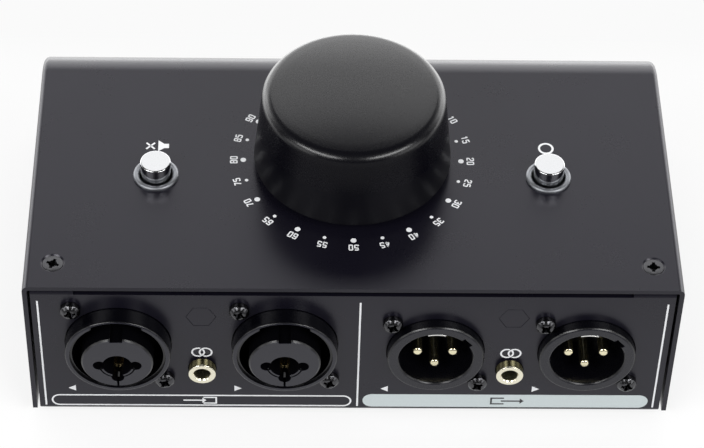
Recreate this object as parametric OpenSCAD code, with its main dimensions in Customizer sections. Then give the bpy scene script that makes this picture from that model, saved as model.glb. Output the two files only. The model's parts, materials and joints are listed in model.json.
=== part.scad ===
// Studio monitor controller: a passive desktop volume control in a bent sheet-steel box.
// +Z is up, +Y is the connector side and -Y the user's side. The origin lies on the surface
// that the feet stand on, under the middle of the outer box. All lengths are millimetres.

/* [Box] */
// Width over the side walls
box_w = 149; // [140:1:170]
// Height of the box without feet and knob
box_h = 43.3; // [43.3:0.1:56]
// Flat length of the top, from the rear edge to the front bend
top_len = 70.2; // [68:0.1:90]
// Outer radius of the front bend
front_bend_r = 12; // [6:0.5:14]
// Lean of the front panel from the vertical, in degrees
front_lean = 24; // [10:1:32]
// Outer radius of the bends along the side walls
side_bend_r = 1.5; // [1.3:0.1:2.5]
// Thickness of the coated steel sheet
sheet_t = 1.1; // [0.8:0.1:1.2]
// Height of the cover's lower edge above the underside
cover_lift = 1; // [0.5:0.1:1.2]
// Depth of the front lip that the base is screwed to
front_lip = 11; // [9:0.5:16]

/* [Tray] */
// Gap between the tray and each side wall
side_gap = 0.6; // [0.3:0.1:1]
// Gap between the rear panel and the top sheet
top_gap = 1.6; // [1:0.1:1.8]
// Setback of the rear panel behind the cover's rear edge
panel_inset = 0.3; // [0:0.1:1]
// Gap between the tray and the front panel
front_gap = 0.5; // [0.3:0.1:1.5]
// Outer radius of the tray's bends
tray_bend_r = 1.6; // [1.4:0.1:2]
// Width of each ear under the cover's rear corners
ear_w = 9.7; // [9:0.1:10.5]
// Length of each ear
ear_len = 14; // [12:0.5:18]
// Relief at the tray's lower rear corners
corner_relief = 0.9; // [0.5:0.1:1.5]

/* [Feet and case screws] */
// Height of the rubber feet
foot_h = 1.5; // [1:0.1:4]
// Diameter of the rubber feet
foot_d = 12; // [8:0.5:16]
// Distance of the feet from the side walls
foot_inset_x = 14; // [12:0.5:20]
// Distance of the feet from the rear panel
foot_inset_rear = 12; // [10:0.5:20]
// Distance of the front feet from the tray's front edge
foot_inset_front = 20; // [19:0.5:30]
// Distance of the cover screws from the rear edge
cover_screw_y = 7.5; // [6:0.1:9]
// Distance between the two screws in the front lip
base_screw_span = 100; // [60:1:110]
// Diameter of the case screws' countersunk heads
case_head_d = 4.8; // [4.6:0.1:5.4]
// Diameter of the case screws' shanks
case_screw_d = 3; // [2.5:0.1:3]
// Length of the case screws
case_screw_len = 6; // [5:0.5:6]

/* [Volume knob] */
// Distance of the knob's axis from the rear edge
dial_y = 40.4; // [38:0.1:43]
// Diameter of the knob at its foot
knob_base_d = 46; // [42:0.5:47]
// Diameter of the knob under its rounded rim
knob_top_d = 42.5; // [38:0.5:42.5]
// Height of the knob's crown above the sheet
knob_top_h = 23.5; // [21:0.1:28]
// Rise of the crowned top above the knob's rim
knob_crown = 1.2; // [0.8:0.1:2]
// Clearance between the knob and the sheet
knob_gap = 2.1; // [1:0.1:3]
// Radius of the knob's rim
knob_rim_r = 2.8; // [1.5:0.1:3.5]
// Wall of the knob
knob_wall = 2.4; // [1.8:0.1:3]
// Width of the pointer groove
groove_w = 1.7; // [1:0.1:2.5]
// Depth of the pointer groove
groove_depth = 0.7; // [0.3:0.1:1]
// Length of the pointer groove down the side
groove_len = 8; // [4:0.5:12]

/* [Potentiometer] */
// Diameter of the shaft
shaft_d = 6; // [5:0.1:6.4]
// Length of the shaft above the sheet
shaft_len = 17; // [14:0.5:18]
// Radial running clearance of the shaft in its bushing
shaft_play = 0.05; // [0.02:0.01:0.1]
// Diameter of the threaded bushing
bushing_d = 7; // [7:0.1:8]
// Height of the bushing above the sheet
bushing_h = 6; // [4:0.5:6]
// Diameter of the wafers
pot_d = 17; // [14:0.5:17]
// Depth of the potentiometer below the top sheet
pot_len = 19.1; // [14:0.1:20]
// Number of wafers on the shaft
pot_wafers = 4; // [2:1:4]

/* [Push buttons] */
// Distance of each button from the middle
button_x = 45.7; // [42:0.1:50]
// Distance of the buttons from the rear edge
button_y = 35.2; // [34.6:0.1:42]
// Diameter of the chrome caps
cap_d = 7.1; // [6:0.1:7.2]
// Height of the caps above the sheet
cap_h = 4.7; // [4:0.1:7]
// Travel of the buttons
button_travel = 2.5; // [1.5:0.1:3]
// Inner diameter of the bezel rings
bezel_inner_d = 7.9; // [7.7:0.1:8.2]
// Outer diameter of the bezel rings
bezel_d = 10.5; // [10.4:0.1:13]
// Height of the bezel rings
bezel_h = 0.9; // [0.6:0.1:1.5]
// Side of the square switch bodies
switch_w = 8.5; // [7:0.5:9]
// Height of the switch bodies
switch_h = 9; // [7:0.5:9]

/* [Connector row] */
// Shift of the inputs from the middle of their half of the panel, towards the box's middle
inputs_shift = 2.15; // [0:0.05:2.5]
// Shift of the outputs from the middle of their half, towards the box's middle
outputs_shift = 0.125; // [0:0.025:1]
// Gap between an input's flange and the small jack beside it
input_gap = 2.05; // [1:0.05:2.5]
// Gap between an output's flange and the small jack beside it
output_gap = 0.175; // [0.1:0.025:2]

/* [Combination inputs] */
// Height of the inputs' axes above the underside
combo_z = 24; // [23:0.1:24.4]
// Outer diameter of the moulded ring
combo_ring_d = 24.1; // [23:0.1:24.5]
// Inner diameter of the ring, where a plug's shell goes in
combo_bore_d = 20.8; // [20:0.1:21.4]
// Width of the ledge inside the ring's lip
combo_ledge_w = 0.55; // [0.3:0.05:0.8]
// Depth of that ledge below the lip
combo_ledge_h = 0.6; // [0.3:0.1:1.2]
// Width of the notch for a plug's latch
latch_w = 11.4; // [10:0.1:12]
// Depth of that notch behind the cover's rear edge
latch_depth = 4; // [2:0.5:6]
// Reach of the ring beyond the cover's rear edge
combo_reach = 3.9; // [2:0.1:5]
// Diameter of the inner core
core_d = 16.36; // [15.8:0.02:16.6]
// Reach of the core beyond the cover's rear edge
core_reach = 5.8; // [5.2:0.1:7]
// Diameter of the 6.35 mm jack's bore
jack_bore_d = 6.8; // [6.4:0.1:7]
// Drop of the contact pattern below the connector's axis
contact_drop = 0.8; // [0:0.1:1]
// Radius of the circle that the contacts and pins lie on
contact_ring_r = 4.1; // [3.9:0.05:4.2]
// Depth of the space for a plug's shell
plug_depth = 12; // [11:0.5:14]
// Width of the moulded flange behind the panel
combo_flange_w = 26; // [25:0.5:26]
// Height of the moulded flange behind the panel
combo_flange_h = 31; // [29:0.5:31]
// Spacing of the fixing holes across
combo_screw_dx = 20.7; // [20:0.1:21]
// Spacing of the fixing holes up
combo_screw_dy = 23.9; // [23.5:0.1:24.5]

/* [Three-pin outputs] */
// Height of the outputs' axes above the underside
xlr_z = 21.6; // [20:0.1:24]
// Outer diameter of the moulded ring
xlr_ring_d = 22.3; // [21:0.1:23]
// Inner diameter of the cup
xlr_cup_d = 16.9; // [16.5:0.1:17.2]
// Reach of the ring beyond the cover's rear edge
xlr_reach = 2.2; // [1:0.1:4]
// Depth of the cup behind the cover's rear edge
xlr_cup_depth = 10.5; // [10:0.5:12]
// Diameter of the pins
pin_d = 2.4; // [2.2:0.1:2.5]
// Depth of the pins' tips behind the cover's rear edge
pin_tip = 0.7; // [0.2:0.1:2]
// Side of the square flange behind the panel
xlr_flange = 26.5; // [25:0.5:27]
// Spacing of the fixing holes, across and up
xlr_screw_d = 20.3; // [19.8:0.1:20.8]
// Depth of the moulded body behind the cover's rear edge
xlr_body_depth = 20; // [17:0.5:22]

/* [Small jacks] */
// Height of the small jacks' axes above the underside
mini_z = 15.3; // [14:0.1:16]
// Outer diameter of the threaded barrel
barrel_d = 6.3; // [6:0.1:6.6]
// Diameter of the 3.5 mm jack's bore
mini_bore_d = 3.7; // [3.6:0.1:3.9]
// Reach of the barrel beyond the cover's rear edge
barrel_reach = 1.7; // [1:0.1:3]
// Width of the jacks' bodies
mini_w = 8; // [7.5:0.5:8.5]

/* [Screws and boards] */
// Head diameter of the connector screws
pan_head_d = 4.4; // [4:0.1:4.6]
// Head height of the connector screws
pan_head_h = 2.1; // [1.6:0.1:2.4]
// Shank diameter of the connector screws
pan_shank_d = 2.9; // [2.5:0.1:3]
// Length of the connector screws
pan_len = 8; // [6:0.5:8]
// Height of the clinched studs above the underside
stud_z = 33.3; // [33:0.1:36]
// Size of the studs across their flats
stud_flats = 6; // [5.5:0.1:6.2]
// Distance of the connector board behind the cover's rear edge
board_y = 26; // [25.5:0.5:27]
// Thickness of the circuit boards
board_t = 1.6; // [1:0.1:1.6]
// Width of the control board
control_board_w = 112; // [106:1:130]
// Depth of the control board
control_board_d = 30; // [28:0.5:31]
// Number of pins in the header between the boards
header_pins = 6; // [4:1:6]

/* [Hidden] */
$fn = 96;
cut = 1;            // how far a cutter runs past the face it opens
fit = 0.05;         // radial clearance of a fixed fit

base_z = foot_h;                                // underside of the tray
top_z = base_z + box_h;                         // top face
lip_z = base_z + sheet_t;                       // inner face of the tray's bottom
wall_z = base_z + cover_lift;                   // lower edge of the cover
bend_a = 90 - front_lean;                       // angle that the front bend turns through
bend_z = top_z - front_bend_r;                  // axis of the front bend
slope_len = (bend_z + front_bend_r * cos(bend_a) - wall_z) / sin(bend_a);
box_d = top_len + front_bend_r * sin(bend_a) + slope_len * cos(bend_a);
rear_y = (box_d - core_reach) / 2;              // rear edge of the cover
bend_y = rear_y - top_len;
panel_y = rear_y - panel_inset;                 // outer face of the rear panel
tray_w = box_w - 2 * (sheet_t + side_gap);
panel_top_z = top_z - sheet_t - top_gap;
under_z = top_z - sheet_t;                      // underside of the top sheet
cover_screw_x = (tray_w - ear_w) / 2;
dial_at = [0, rear_y - dial_y];
button_at_y = rear_y - button_y;
control_z = under_z - pot_len;                  // top face of the control board
board_gap = 2.4;                                // from the connector board to the control board
rest_value_a = 240;                             // direction of the pointer at 0 on the dial
screw_corners = [[-1, 1], [1, -1]];             // corners of a connector that hold a screw
boss_d = 5.2;                                   // post behind a flange that a screw bites into
post_len = 6;
pilot_len = 9;
head_sink = 0.25;                               // of a case screw's face below the sheet's face
body_inset = 3;                                 // of an input's body below its flange's top
leg = side_bend_r + 2;                          // depth of the bent section's legs
recess_slot = 0.75;                             // width of a cross recess's arms
case_recess_depth = 1.1;
pan_recess_depth = 1.3;
screw_chamfer = 0.4;
stem_d = 3.2;
stem_in_cap = 5.5;
cap_below = 5;                                  // length of a cap below the sheet
half_mid_x = (box_w / 2 - sheet_t) / 2;         // middle of each half of the rear panel
mini_x = [half_mid_x - inputs_shift, outputs_shift - half_mid_x];
combo_pitch = (combo_flange_w + mini_w) / 2 + input_gap;
xlr_pitch = (xlr_flange + mini_w) / 2 + output_gap;
combo_x = [mini_x[0] + combo_pitch, mini_x[0] - combo_pitch];
xlr_x = [mini_x[1] + xlr_pitch, mini_x[1] - xlr_pitch];
clinch_z = -panel_inset;                        // panel faces, seen along a connector's axis
behind_z = -panel_inset - sheet_t;
flange_t = 3;
pin_step = 2.54;
header_pin = 0.64;                              // side of a header's square pin
header_strip = 2.5;                             // side of its moulded strip
header_x = -20;
header_setback = 0.5;                           // of the strip behind the control board's edge

// y of the front panel's plane that lies k inside its outer face, at height z
function slope_y(z, k) = let (r = front_bend_r - k)
    bend_y - r * sin(bend_a) - (bend_z + r * cos(bend_a) - z) / tan(bend_a);
tray_front_y = slope_y(lip_z, sheet_t) + front_gap;
lip_front_y = slope_y(lip_z + sheet_t, sheet_t / 2);
base_screw_y = tray_front_y + front_lip / 2;

// Stands its children on the rear face: local z points out, y up and x to the right of someone
// who looks at the connectors
module at_rear(x, z) {
    translate([x, rear_y, base_z + z]) rotate([90, 0, 180]) children();
}

// Extrudes a side profile, drawn in y and z, over the width w
module across(w) {
    translate([-w / 2, 0, 0]) rotate([90, 0, 90]) linear_extrude(w) children();
}

// Rectangle of w by h, centred, with round corners
module round_rect(w, h, r) {
    square([w - 2 * r, h], center = true);
    square([w, h - 2 * r], center = true);
    for (x = [-1, 1], y = [-1, 1]) translate([x * (w / 2 - r), y * (h / 2 - r)]) circle(r);
}

// Rectangle that hangs from y = 0, with round upper corners
module round_top(w, h, r) {
    translate([-w / 2, -h]) square([w, h - r]);
    translate([-w / 2 + r, -h]) square([w - 2 * r, h]);
    for (x = [-1, 1]) translate([x * (w / 2 - r), -r]) circle(r);
}

// Cross-section of the bent sheet: a plate with two short legs, k inside its outline all round
module sheet_section(k) {
    difference() {
        translate([0, -k]) round_top(box_w - 2 * k, leg - 2 * k, side_bend_r - k);
        translate([0, k - sheet_t])
            round_top(box_w - 2 * (sheet_t - k), leg, side_bend_r - sheet_t + k);
    }
}

// Outline of a side wall, k inside the outer faces of the top, the bend and the front panel
module wall_outline(k) {
    r = front_bend_r - k;
    translate([bend_y, wall_z]) square([top_len, top_z - k - wall_z]);
    translate([bend_y, bend_z]) circle(r);
    polygon([[bend_y, wall_z], [bend_y, bend_z],
        [bend_y - r * sin(bend_a), bend_z + r * cos(bend_a)], [slope_y(wall_z, k), wall_z]]);
}

// Top, front bend and front panel. The panel's sheet is 0.02 mm slimmer all round and starts
// inside the bend's end, so that the two don't meet in a tangent.
module bent_sheet() {
    slim = 0.02;
    inside = 0.5;
    over = 3;                                   // surplus that the lower edge is cut from
    translate([0, rear_y, top_z]) rotate([90, 0, 0]) linear_extrude(top_len) sheet_section(0);
    translate([0, bend_y, bend_z]) {
        rotate([0, -90, 180]) rotate_extrude(angle = bend_a)
            translate([front_bend_r, 0]) mirror([1, 0]) rotate(90) sheet_section(0);
        rotate([bend_a, 0, 0]) translate([0, inside, front_bend_r]) rotate([90, 0, 0])
            linear_extrude(slope_len + inside + over) sheet_section(slim);
    }
}

module cover() {
    color("#2c2c2f") difference() {
        union() {
            bent_sheet();
            for (x = [-1, 1]) translate([x * (box_w - sheet_t) / 2, 0, 0]) across(sheet_t)
                wall_outline(leg - 1);
            across(box_w - sheet_t) translate([lip_front_y, lip_z]) square([front_lip, sheet_t]);
        }
        translate([-box_w / 2 - cut, -box_d, wall_z - box_h])
            cube([box_w + 2 * cut, 2 * box_d, box_h]);
        translate([dial_at.x, dial_at.y, under_z - cut])
            cylinder(d = bushing_d + 4 * fit, h = sheet_t + 2 * cut);
        for (x = [-1, 1]) translate([x * button_x, button_at_y, under_z - cut])
            cylinder(d = bezel_inner_d + 1.6, h = sheet_t + 2 * cut);
        for (x = [-1, 1]) translate([x * cover_screw_x, rear_y - cover_screw_y, top_z])
            countersink();
        for (x = [-1, 1]) translate([x * base_screw_span / 2, base_screw_y, lip_z - cut])
            cylinder(d = case_screw_d + 2 * fit, h = sheet_t + 2 * cut);
    }
}

// Countersunk hole whose mouth is at z = 0
module countersink() {
    mouth = case_head_d / 2 + head_sink + fit;
    neck = case_screw_d / 2 + 2 * fit;
    rotate_extrude() polygon([[0, cut], [mouth, cut], [mouth, 0], [neck, neck - mouth],
        [neck, -3], [0, -3]]);
}

module base_tray() {
    color("#2c2c2f") difference() {
        union() {
            across(tray_w) {
                translate([tray_front_y, base_z])
                    square([panel_y - tray_bend_r - tray_front_y, sheet_t]);
                translate([panel_y - sheet_t, base_z + tray_bend_r])
                    square([sheet_t, panel_top_z - base_z - tray_bend_r]);
                translate([panel_y - tray_bend_r, base_z + tray_bend_r]) bend_section(-90);
            }
            for (x = [-1, 1]) translate([x * cover_screw_x, 0, 0]) across(ear_w) {
                translate([panel_y - sheet_t, panel_top_z - tray_bend_r])
                    square([sheet_t, under_z - panel_top_z]);
                translate([panel_y - tray_bend_r, under_z - tray_bend_r]) bend_section(0);
                translate([panel_y - ear_len, under_z - sheet_t])
                    square([ear_len - tray_bend_r, sheet_t]);
            }
        }
        for (x = [-1, 1]) translate([x * tray_w / 2, 0, base_z]) mirror([x < 0 ? 1 : 0, 0, 0])
            rotate([90, 0, 0]) linear_extrude(2 * box_d, center = true)
                polygon([[-corner_relief, 0], [-corner_relief, -cut], [cut, -cut],
                    [cut, corner_relief], [0, corner_relief]]);
        for (x = combo_x) at_rear(x, combo_z) panel_hole(combo_ring_d, combo_screw_dx,
            combo_screw_dy);
        for (x = xlr_x) at_rear(x, xlr_z) panel_hole(xlr_ring_d, xlr_screw_d, xlr_screw_d);
        for (x = mini_x) at_rear(x, mini_z) translate([0, 0, behind_z - cut])
            cylinder(d = barrel_d + 6 * fit, h = sheet_t + 2 * cut);
        for (x = mini_x) at_rear(x, stud_z) translate([0, 0, behind_z - cut])
            cylinder(d = hex_d(stud_flats + fit), h = sheet_t + 2 * cut, $fn = 6);
        for (x = [-1, 1]) translate([x * base_screw_span / 2, base_screw_y, base_z])
            mirror([0, 0, 1]) countersink();
        for (x = [-1, 1]) translate([x * cover_screw_x, rear_y - cover_screw_y, under_z - 3])
            cylinder(d = case_screw_d + 2 * fit, h = 4);
    }
}

// Quarter of a bend's ring, from the angle a on
module bend_section(a) {
    rotate(a) intersection() {
        difference() {
            circle(tray_bend_r);
            circle(tray_bend_r - sheet_t);
        }
        square(tray_bend_r);
    }
}

// Opening for a connector's ring with its two screw holes
module panel_hole(ring_d, dx, dy) {
    translate([0, 0, behind_z - cut]) {
        cylinder(d = ring_d + 8 * fit, h = sheet_t + 2 * cut);
        for (s = screw_corners) translate([s.x * dx / 2, s.y * dy / 2, 0])
            cylinder(d = pan_shank_d + 4 * fit, h = sheet_t + 2 * cut);
    }
}

// Corner-to-corner size of a hexagon with the given size across its flats
function hex_d(flats) = flats / cos(30);

module foot(side_x, side_y) {
    y = side_y > 0 ? panel_y - foot_inset_rear : tray_front_y + foot_inset_front;
    color("#151515") translate([side_x * (box_w / 2 - foot_inset_x), y, 0]) rotate_extrude()
        polygon([[0, 0], [foot_d / 2 - 0.6, 0], [foot_d / 2, 0.6], [foot_d / 2, foot_h],
            [0, foot_h]]);
}

// Countersunk screw with its head's face at z = 0 and its shank below
module case_screw() {
    head_r = case_head_d / 2;
    shank_r = case_screw_d / 2;
    difference() {
        rotate_extrude() polygon([[0, 0], [head_r, 0], [shank_r, shank_r - head_r],
            [shank_r, screw_chamfer - case_screw_len],
            [shank_r - screw_chamfer, -case_screw_len],
            [0, -case_screw_len]]);
        cross_recess(case_head_d * 0.56, case_recess_depth);
    }
}

// Cross recess that is cut down from z = 0
module cross_recess(w, depth) {
    for (a = [0, 90]) rotate(a) translate([-w / 2, -recess_slot / 2, -depth])
        cube([w, recess_slot, depth + cut]);
}

module cover_screws() {
    color("#1c1c1e") for (x = [-1, 1])
        translate([x * cover_screw_x, rear_y - cover_screw_y, top_z - head_sink])
            rotate(30 * x) case_screw();
}

module base_screws() {
    color("#1c1c1e") for (x = [-1, 1])
        translate([x * base_screw_span / 2, base_screw_y, base_z + head_sink])
            mirror([0, 0, 1]) rotate(20) case_screw();
}

// Pan-head screw with the underside of its head at z = 0
module pan_screw() {
    dome_r = 1.2 * pan_head_d;
    difference() {
        union() {
            rotate_extrude() intersection() {
                square([pan_head_d / 2, pan_head_h]);
                translate([0, pan_head_h - dome_r]) circle(dome_r);
            }
            translate([0, 0, -pan_len]) cylinder(d = pan_shank_d, h = pan_len + 0.2);
        }
        translate([0, 0, pan_head_h]) cross_recess(pan_head_d * 0.6, pan_recess_depth);
    }
}

module connector_screws() {
    turn = [15, 60, 35, 80];                    // each screw was driven home at its own angle
    color("#1c1c1e") {
        for (i = [0, 1], k = [0, 1]) at_rear(combo_x[i], combo_z)
            translate([screw_corners[k].x * combo_screw_dx / 2,
                screw_corners[k].y * combo_screw_dy / 2, clinch_z])
                    rotate(turn[2 * i + k]) pan_screw();
        for (i = [0, 1], k = [0, 1]) at_rear(xlr_x[i], xlr_z)
            translate([screw_corners[k].x * xlr_screw_d / 2, screw_corners[k].y * xlr_screw_d / 2,
                clinch_z]) rotate(turn[3 - 2 * i - k]) pan_screw();
    }
}

module volume_knob() {
    foot_z = knob_gap;
    shoulder_z = knob_top_h - knob_crown;
    roof_z = shoulder_z - knob_wall;
    base_r = knob_base_d / 2;
    top_r = knob_top_d / 2;
    rim_x = top_r - knob_rim_r;
    rim_z = shoulder_z - knob_rim_r;
    meet_a = 10;                                // slope of the rim where the crown meets it
    meet_x = rim_x + knob_rim_r * sin(meet_a);
    rise = knob_top_h - rim_z - knob_rim_r * cos(meet_a);
    crown_r = (meet_x * meet_x + rise * rise) / (2 * rise);
    crown_cut = 0.003;                          // leaves a small flat in the crown's middle
    boss_r = shaft_d / 2 + 2.5;
    boss_z = bushing_h + 1;
    taper = atan((base_r - top_r) / (rim_z - foot_z));
    bevel = 0.4;
    color("#18181a") translate([dial_at.x, dial_at.y, top_z]) difference() {
        union() {
            rotate_extrude($fn = 180) difference() {
                union() {
                    polygon([[0, foot_z], [base_r - bevel, foot_z], [base_r, foot_z + bevel],
                        [top_r, rim_z], [rim_x, rim_z], [rim_x, shoulder_z],
                        [0, shoulder_z]]);
                    translate([rim_x, rim_z]) circle(knob_rim_r);
                    intersection() {
                        translate([0, knob_top_h + crown_cut - crown_r]) circle(crown_r);
                        translate([0, rim_z])
                            square([(rim_x + 3 * meet_x) / 4, knob_rim_r + knob_crown]);
                    }
                }
                polygon([[0, foot_z - cut], [base_r - knob_wall, foot_z - cut],
                    [base_r - knob_wall, foot_z], [top_r - knob_wall, roof_z], [0, roof_z]]);
            }
            translate([0, 0, boss_z]) cylinder(r = boss_r, h = roof_z - boss_z + 0.5);
            for (a = [0 : 60 : 300]) rotate(a) translate([boss_r - 0.5, -0.6, roof_z - 7])
                cube([top_r - knob_wall - boss_r + 1, 1.2, 7.5]);
        }
        translate([0, 0, boss_z - cut]) d_shaft(shaft_d + fit, shaft_len - boss_z + cut);
        rotate(rest_value_a) translate([top_r + groove_w / 2 - groove_depth, 0, shoulder_z])
            rotate([0, 180 - taper, 0]) translate([0, 0, -2]) cylinder(d = groove_w,
                h = groove_len + 2);
    }
}

// Round bar with a flat, standing on z = 0
module d_shaft(d, h) {
    difference() {
        cylinder(d = d, h = h);
        translate([d / 4, -d, -cut]) cube([d, 2 * d, h + 2 * cut]);
    }
}

module pot_shaft() {
    color("silver") translate([dial_at.x, dial_at.y, 0]) {
        translate([0, 0, control_z + 3]) cylinder(d = shaft_d,
            h = top_z + bushing_h - control_z - 3);
        translate([0, 0, top_z + bushing_h]) d_shaft(shaft_d, shaft_len - bushing_h);
    }
}

module pot_housing() {
    plate_t = 2.6;
    wafer = (pot_len - plate_t) / pot_wafers;
    seam = 0.5;
    color("#8b8d90") translate([dial_at.x, dial_at.y, control_z]) difference() {
        union() {
            cylinder(d = pot_d - 1, h = pot_len);
            for (i = [0 : pot_wafers - 1]) translate([0, 0, i * wafer])
                cylinder(d = pot_d, h = wafer - seam);
            translate([0, 0, pot_len - plate_t]) linear_extrude(plate_t)
                round_rect(pot_d + 1, pot_d + 1, 2);
        }
        translate([0, 0, 2]) cylinder(d = shaft_d + 0.4, h = pot_len);
    }
}

module pot_bushing() {
    color("#c9b068") translate([dial_at.x, dial_at.y, under_z]) difference() {
        cylinder(d = bushing_d, h = sheet_t + bushing_h);
        translate([0, 0, -cut]) cylinder(d = shaft_d + 2 * shaft_play, h = 2 * cut + sheet_t
            + bushing_h);
    }
}

module pot_washer() {
    color("silver") translate([dial_at.x, dial_at.y, top_z]) difference() {
        cylinder(d = bushing_d + 5, h = 0.5);
        translate([0, 0, -cut]) cylinder(d = bushing_d + 4 * fit, h = 3 * cut);
    }
}

module pot_nut() {
    color("silver") translate([dial_at.x, dial_at.y, top_z + 0.5]) difference() {
        cylinder(d = hex_d(bushing_d + 3), h = 2.2, $fn = 6);
        translate([0, 0, -cut]) cylinder(d = bushing_d + 2 * fit, h = 5 * cut);
    }
}

// Chrome cap that slides in its bezel
module button_cap(x) {
    bevel = 0.35;
    r = cap_d / 2;
    color("#e6e8ea") translate([x, button_at_y, top_z]) difference() {
        rotate_extrude() {
            polygon([[0, -cap_below], [r, -cap_below], [r, cap_h - bevel],
                [r - bevel, cap_h - bevel], [r - bevel, cap_h], [0, cap_h]]);
            translate([r - bevel, cap_h - bevel]) circle(bevel);
        }
        translate([0, 0, -cap_below - cut]) cylinder(d = stem_d + 2 * fit,
            h = stem_in_cap + cut);
    }
}

// Plastic stem between a cap and its switch
module button_stem(x) {
    low_z = control_z + 2 + button_travel;
    color("#2b2b2b") translate([x, button_at_y, low_z]) cylinder(d = stem_d,
        h = top_z - cap_below + stem_in_cap - low_z);
}

// Ring around a cap, with a neck through the sheet and a lip that snaps under it
module button_bezel(x) {
    inner_r = bezel_inner_d / 2;
    neck_r = inner_r + 0.75;
    lip_r = neck_r + 0.25;
    outer_r = bezel_d / 2;
    rib_r = (outer_r - inner_r) / 2;
    color("#a7a9ad") translate([x, button_at_y, top_z]) rotate_extrude() {
        translate([inner_r, -sheet_t - 1.5]) square([neck_r - inner_r, sheet_t + 1.5]);
        translate([inner_r, -sheet_t - 1.5]) square([lip_r - inner_r, 1.5]);
        translate([inner_r, 0]) square([outer_r - inner_r, bezel_h / 2]);
        intersection() {
            translate([inner_r + rib_r, bezel_h - rib_r]) circle(rib_r);
            translate([inner_r, 0]) square([2 * rib_r, bezel_h]);
        }
    }
}

// Latching switch on the control board
module button_switch(x) {
    color("#202022") translate([x, button_at_y, control_z]) difference() {
        union() {
            linear_extrude(switch_h - 1) round_rect(switch_w, switch_w, 0.5);
            cylinder(d = switch_w - 2.5, h = switch_h);
        }
        translate([0, 0, 1.2]) cylinder(d = stem_d + 2 * fit, h = switch_h);
    }
}

// Moulded ring, flange and body of a combination input
module input_shell(x) {
    ring_r = combo_ring_d / 2;
    bore_r = combo_bore_d / 2;
    step_r = bore_r + combo_ledge_w;
    edge_r = 0.5;
    floor_z = -board_y + 1;
    latch_wall = 0.45;                          // what the notch leaves of the ring
    latch_reach = 2.2;                          // what it takes of the body, inside the bore
    latch_step = 0.25;                          // how much wider it is above the ledge
    color("#242427") at_rear(x, combo_z) difference() {
        union() {
            rotate_extrude() {
                polygon([[bore_r - cut, behind_z], [ring_r, behind_z],
                    [ring_r, combo_reach - edge_r], [ring_r - edge_r, combo_reach - edge_r],
                    [ring_r - edge_r, combo_reach], [step_r, combo_reach],
                    [step_r, combo_reach - combo_ledge_h],
                    [bore_r - cut, combo_reach - combo_ledge_h]]);
                translate([ring_r - edge_r, combo_reach - edge_r]) circle(edge_r);
            }
            translate([0, 0, behind_z - flange_t]) linear_extrude(flange_t)
                round_rect(combo_flange_w, combo_flange_h, 2);
            translate([0, 0, -board_y]) linear_extrude(board_y + behind_z)
                round_rect(combo_flange_w - 2, combo_flange_h - 2 * body_inset, 3);
            screw_posts(combo_screw_dx, combo_screw_dy) cylinder(d = boss_d, h = post_len);
        }
        translate([0, 0, -plug_depth]) cylinder(r = bore_r, h = plug_depth + 2 * combo_reach);
        translate([0, 0, floor_z]) cylinder(d = core_d + 2 * fit, h = board_y);
        translate([0, 0, -latch_depth]) intersection() {
            cylinder(r = ring_r - latch_wall, h = latch_depth + combo_reach + cut);
            translate([0, bore_r - latch_reach, 0]) union() {
                translate([-latch_w / 2, 0, -cut])
                    cube([latch_w, ring_r, latch_depth + combo_reach + 3 * cut]);
                translate([-latch_w / 2 - latch_step, 0,
                    latch_depth + combo_reach - combo_ledge_h])
                    cube([latch_w + 2 * latch_step, ring_r, combo_ledge_h + 2 * cut]);
            }
        }
        screw_posts(combo_screw_dx, combo_screw_dy)
            cylinder(d = pan_shank_d + 2 * fit, h = pilot_len);
    }
}

// Puts its children at a connector's two screws, at the depth that the screws reach
module screw_posts(dx, dy) {
    for (s = screw_corners) translate([s.x * dx / 2, s.y * dy / 2, clinch_z - pan_len - 0.5])
        children();
}

// Inner core with the jack's bore and the three lobes of the contacts
module input_core(x) {
    r = core_d / 2;
    bevel = 0.4;
    lobe_d = 2.9;
    key_w = 2.9;                                // key slot at the top of the core
    key_in = 1;
    slit_w = 0.5;                               // slit between the lowest lobe and the rim
    slit_depth = 3;
    groove = 0.35;
    color("#303034") at_rear(x, combo_z) difference() {
        translate([0, 0, -board_y + 1]) rotate_extrude() polygon([[0, 0], [r, 0],
            [r, board_y - 1 + core_reach - bevel], [r - bevel, board_y - 1 + core_reach],
            [0, board_y - 1 + core_reach]]);
        translate([0, -contact_drop, -board_y + 1.5]) cylinder(d = jack_bore_d,
            h = board_y + core_reach);
        for (p = contact_places()) translate([p.x, p.y, -plug_depth])
            cylinder(d = lobe_d, h = plug_depth + core_reach + cut);
        translate([-key_w / 2, r - key_in, -plug_depth])
            cube([key_w, key_in + cut, plug_depth + core_reach + cut]);
        translate([-slit_w / 2, -r - cut, core_reach - slit_depth])
            cube([slit_w, r + cut - contact_drop - contact_ring_r, slit_depth + cut]);
        translate([0, -contact_drop, core_reach - 0.6]) for (a = [-160, -72]) rotate(a)
            rotate_extrude(angle = 52) translate([jack_bore_d / 2 + 0.45, 0])
                square([groove, 1]);
    }
}

// Places of the three contacts around the dropped pattern's centre
function contact_places() = [for (p = [[-1, 0], [1, 0], [0, -1]])
    [p.x * contact_ring_r, p.y * contact_ring_r - contact_drop]];

// Half sleeves that grip a plug's pins, outside the jack's bore
module input_contacts(x) {
    face = [90, -90, 180];
    color("#c8a45a") at_rear(x, combo_z) for (i = [0 : 2])
        translate([contact_places()[i].x, contact_places()[i].y, -plug_depth]) rotate(face[i])
            rotate_extrude(angle = 180) translate([1, 0]) square([0.4, plug_depth + 1]);
}

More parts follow.
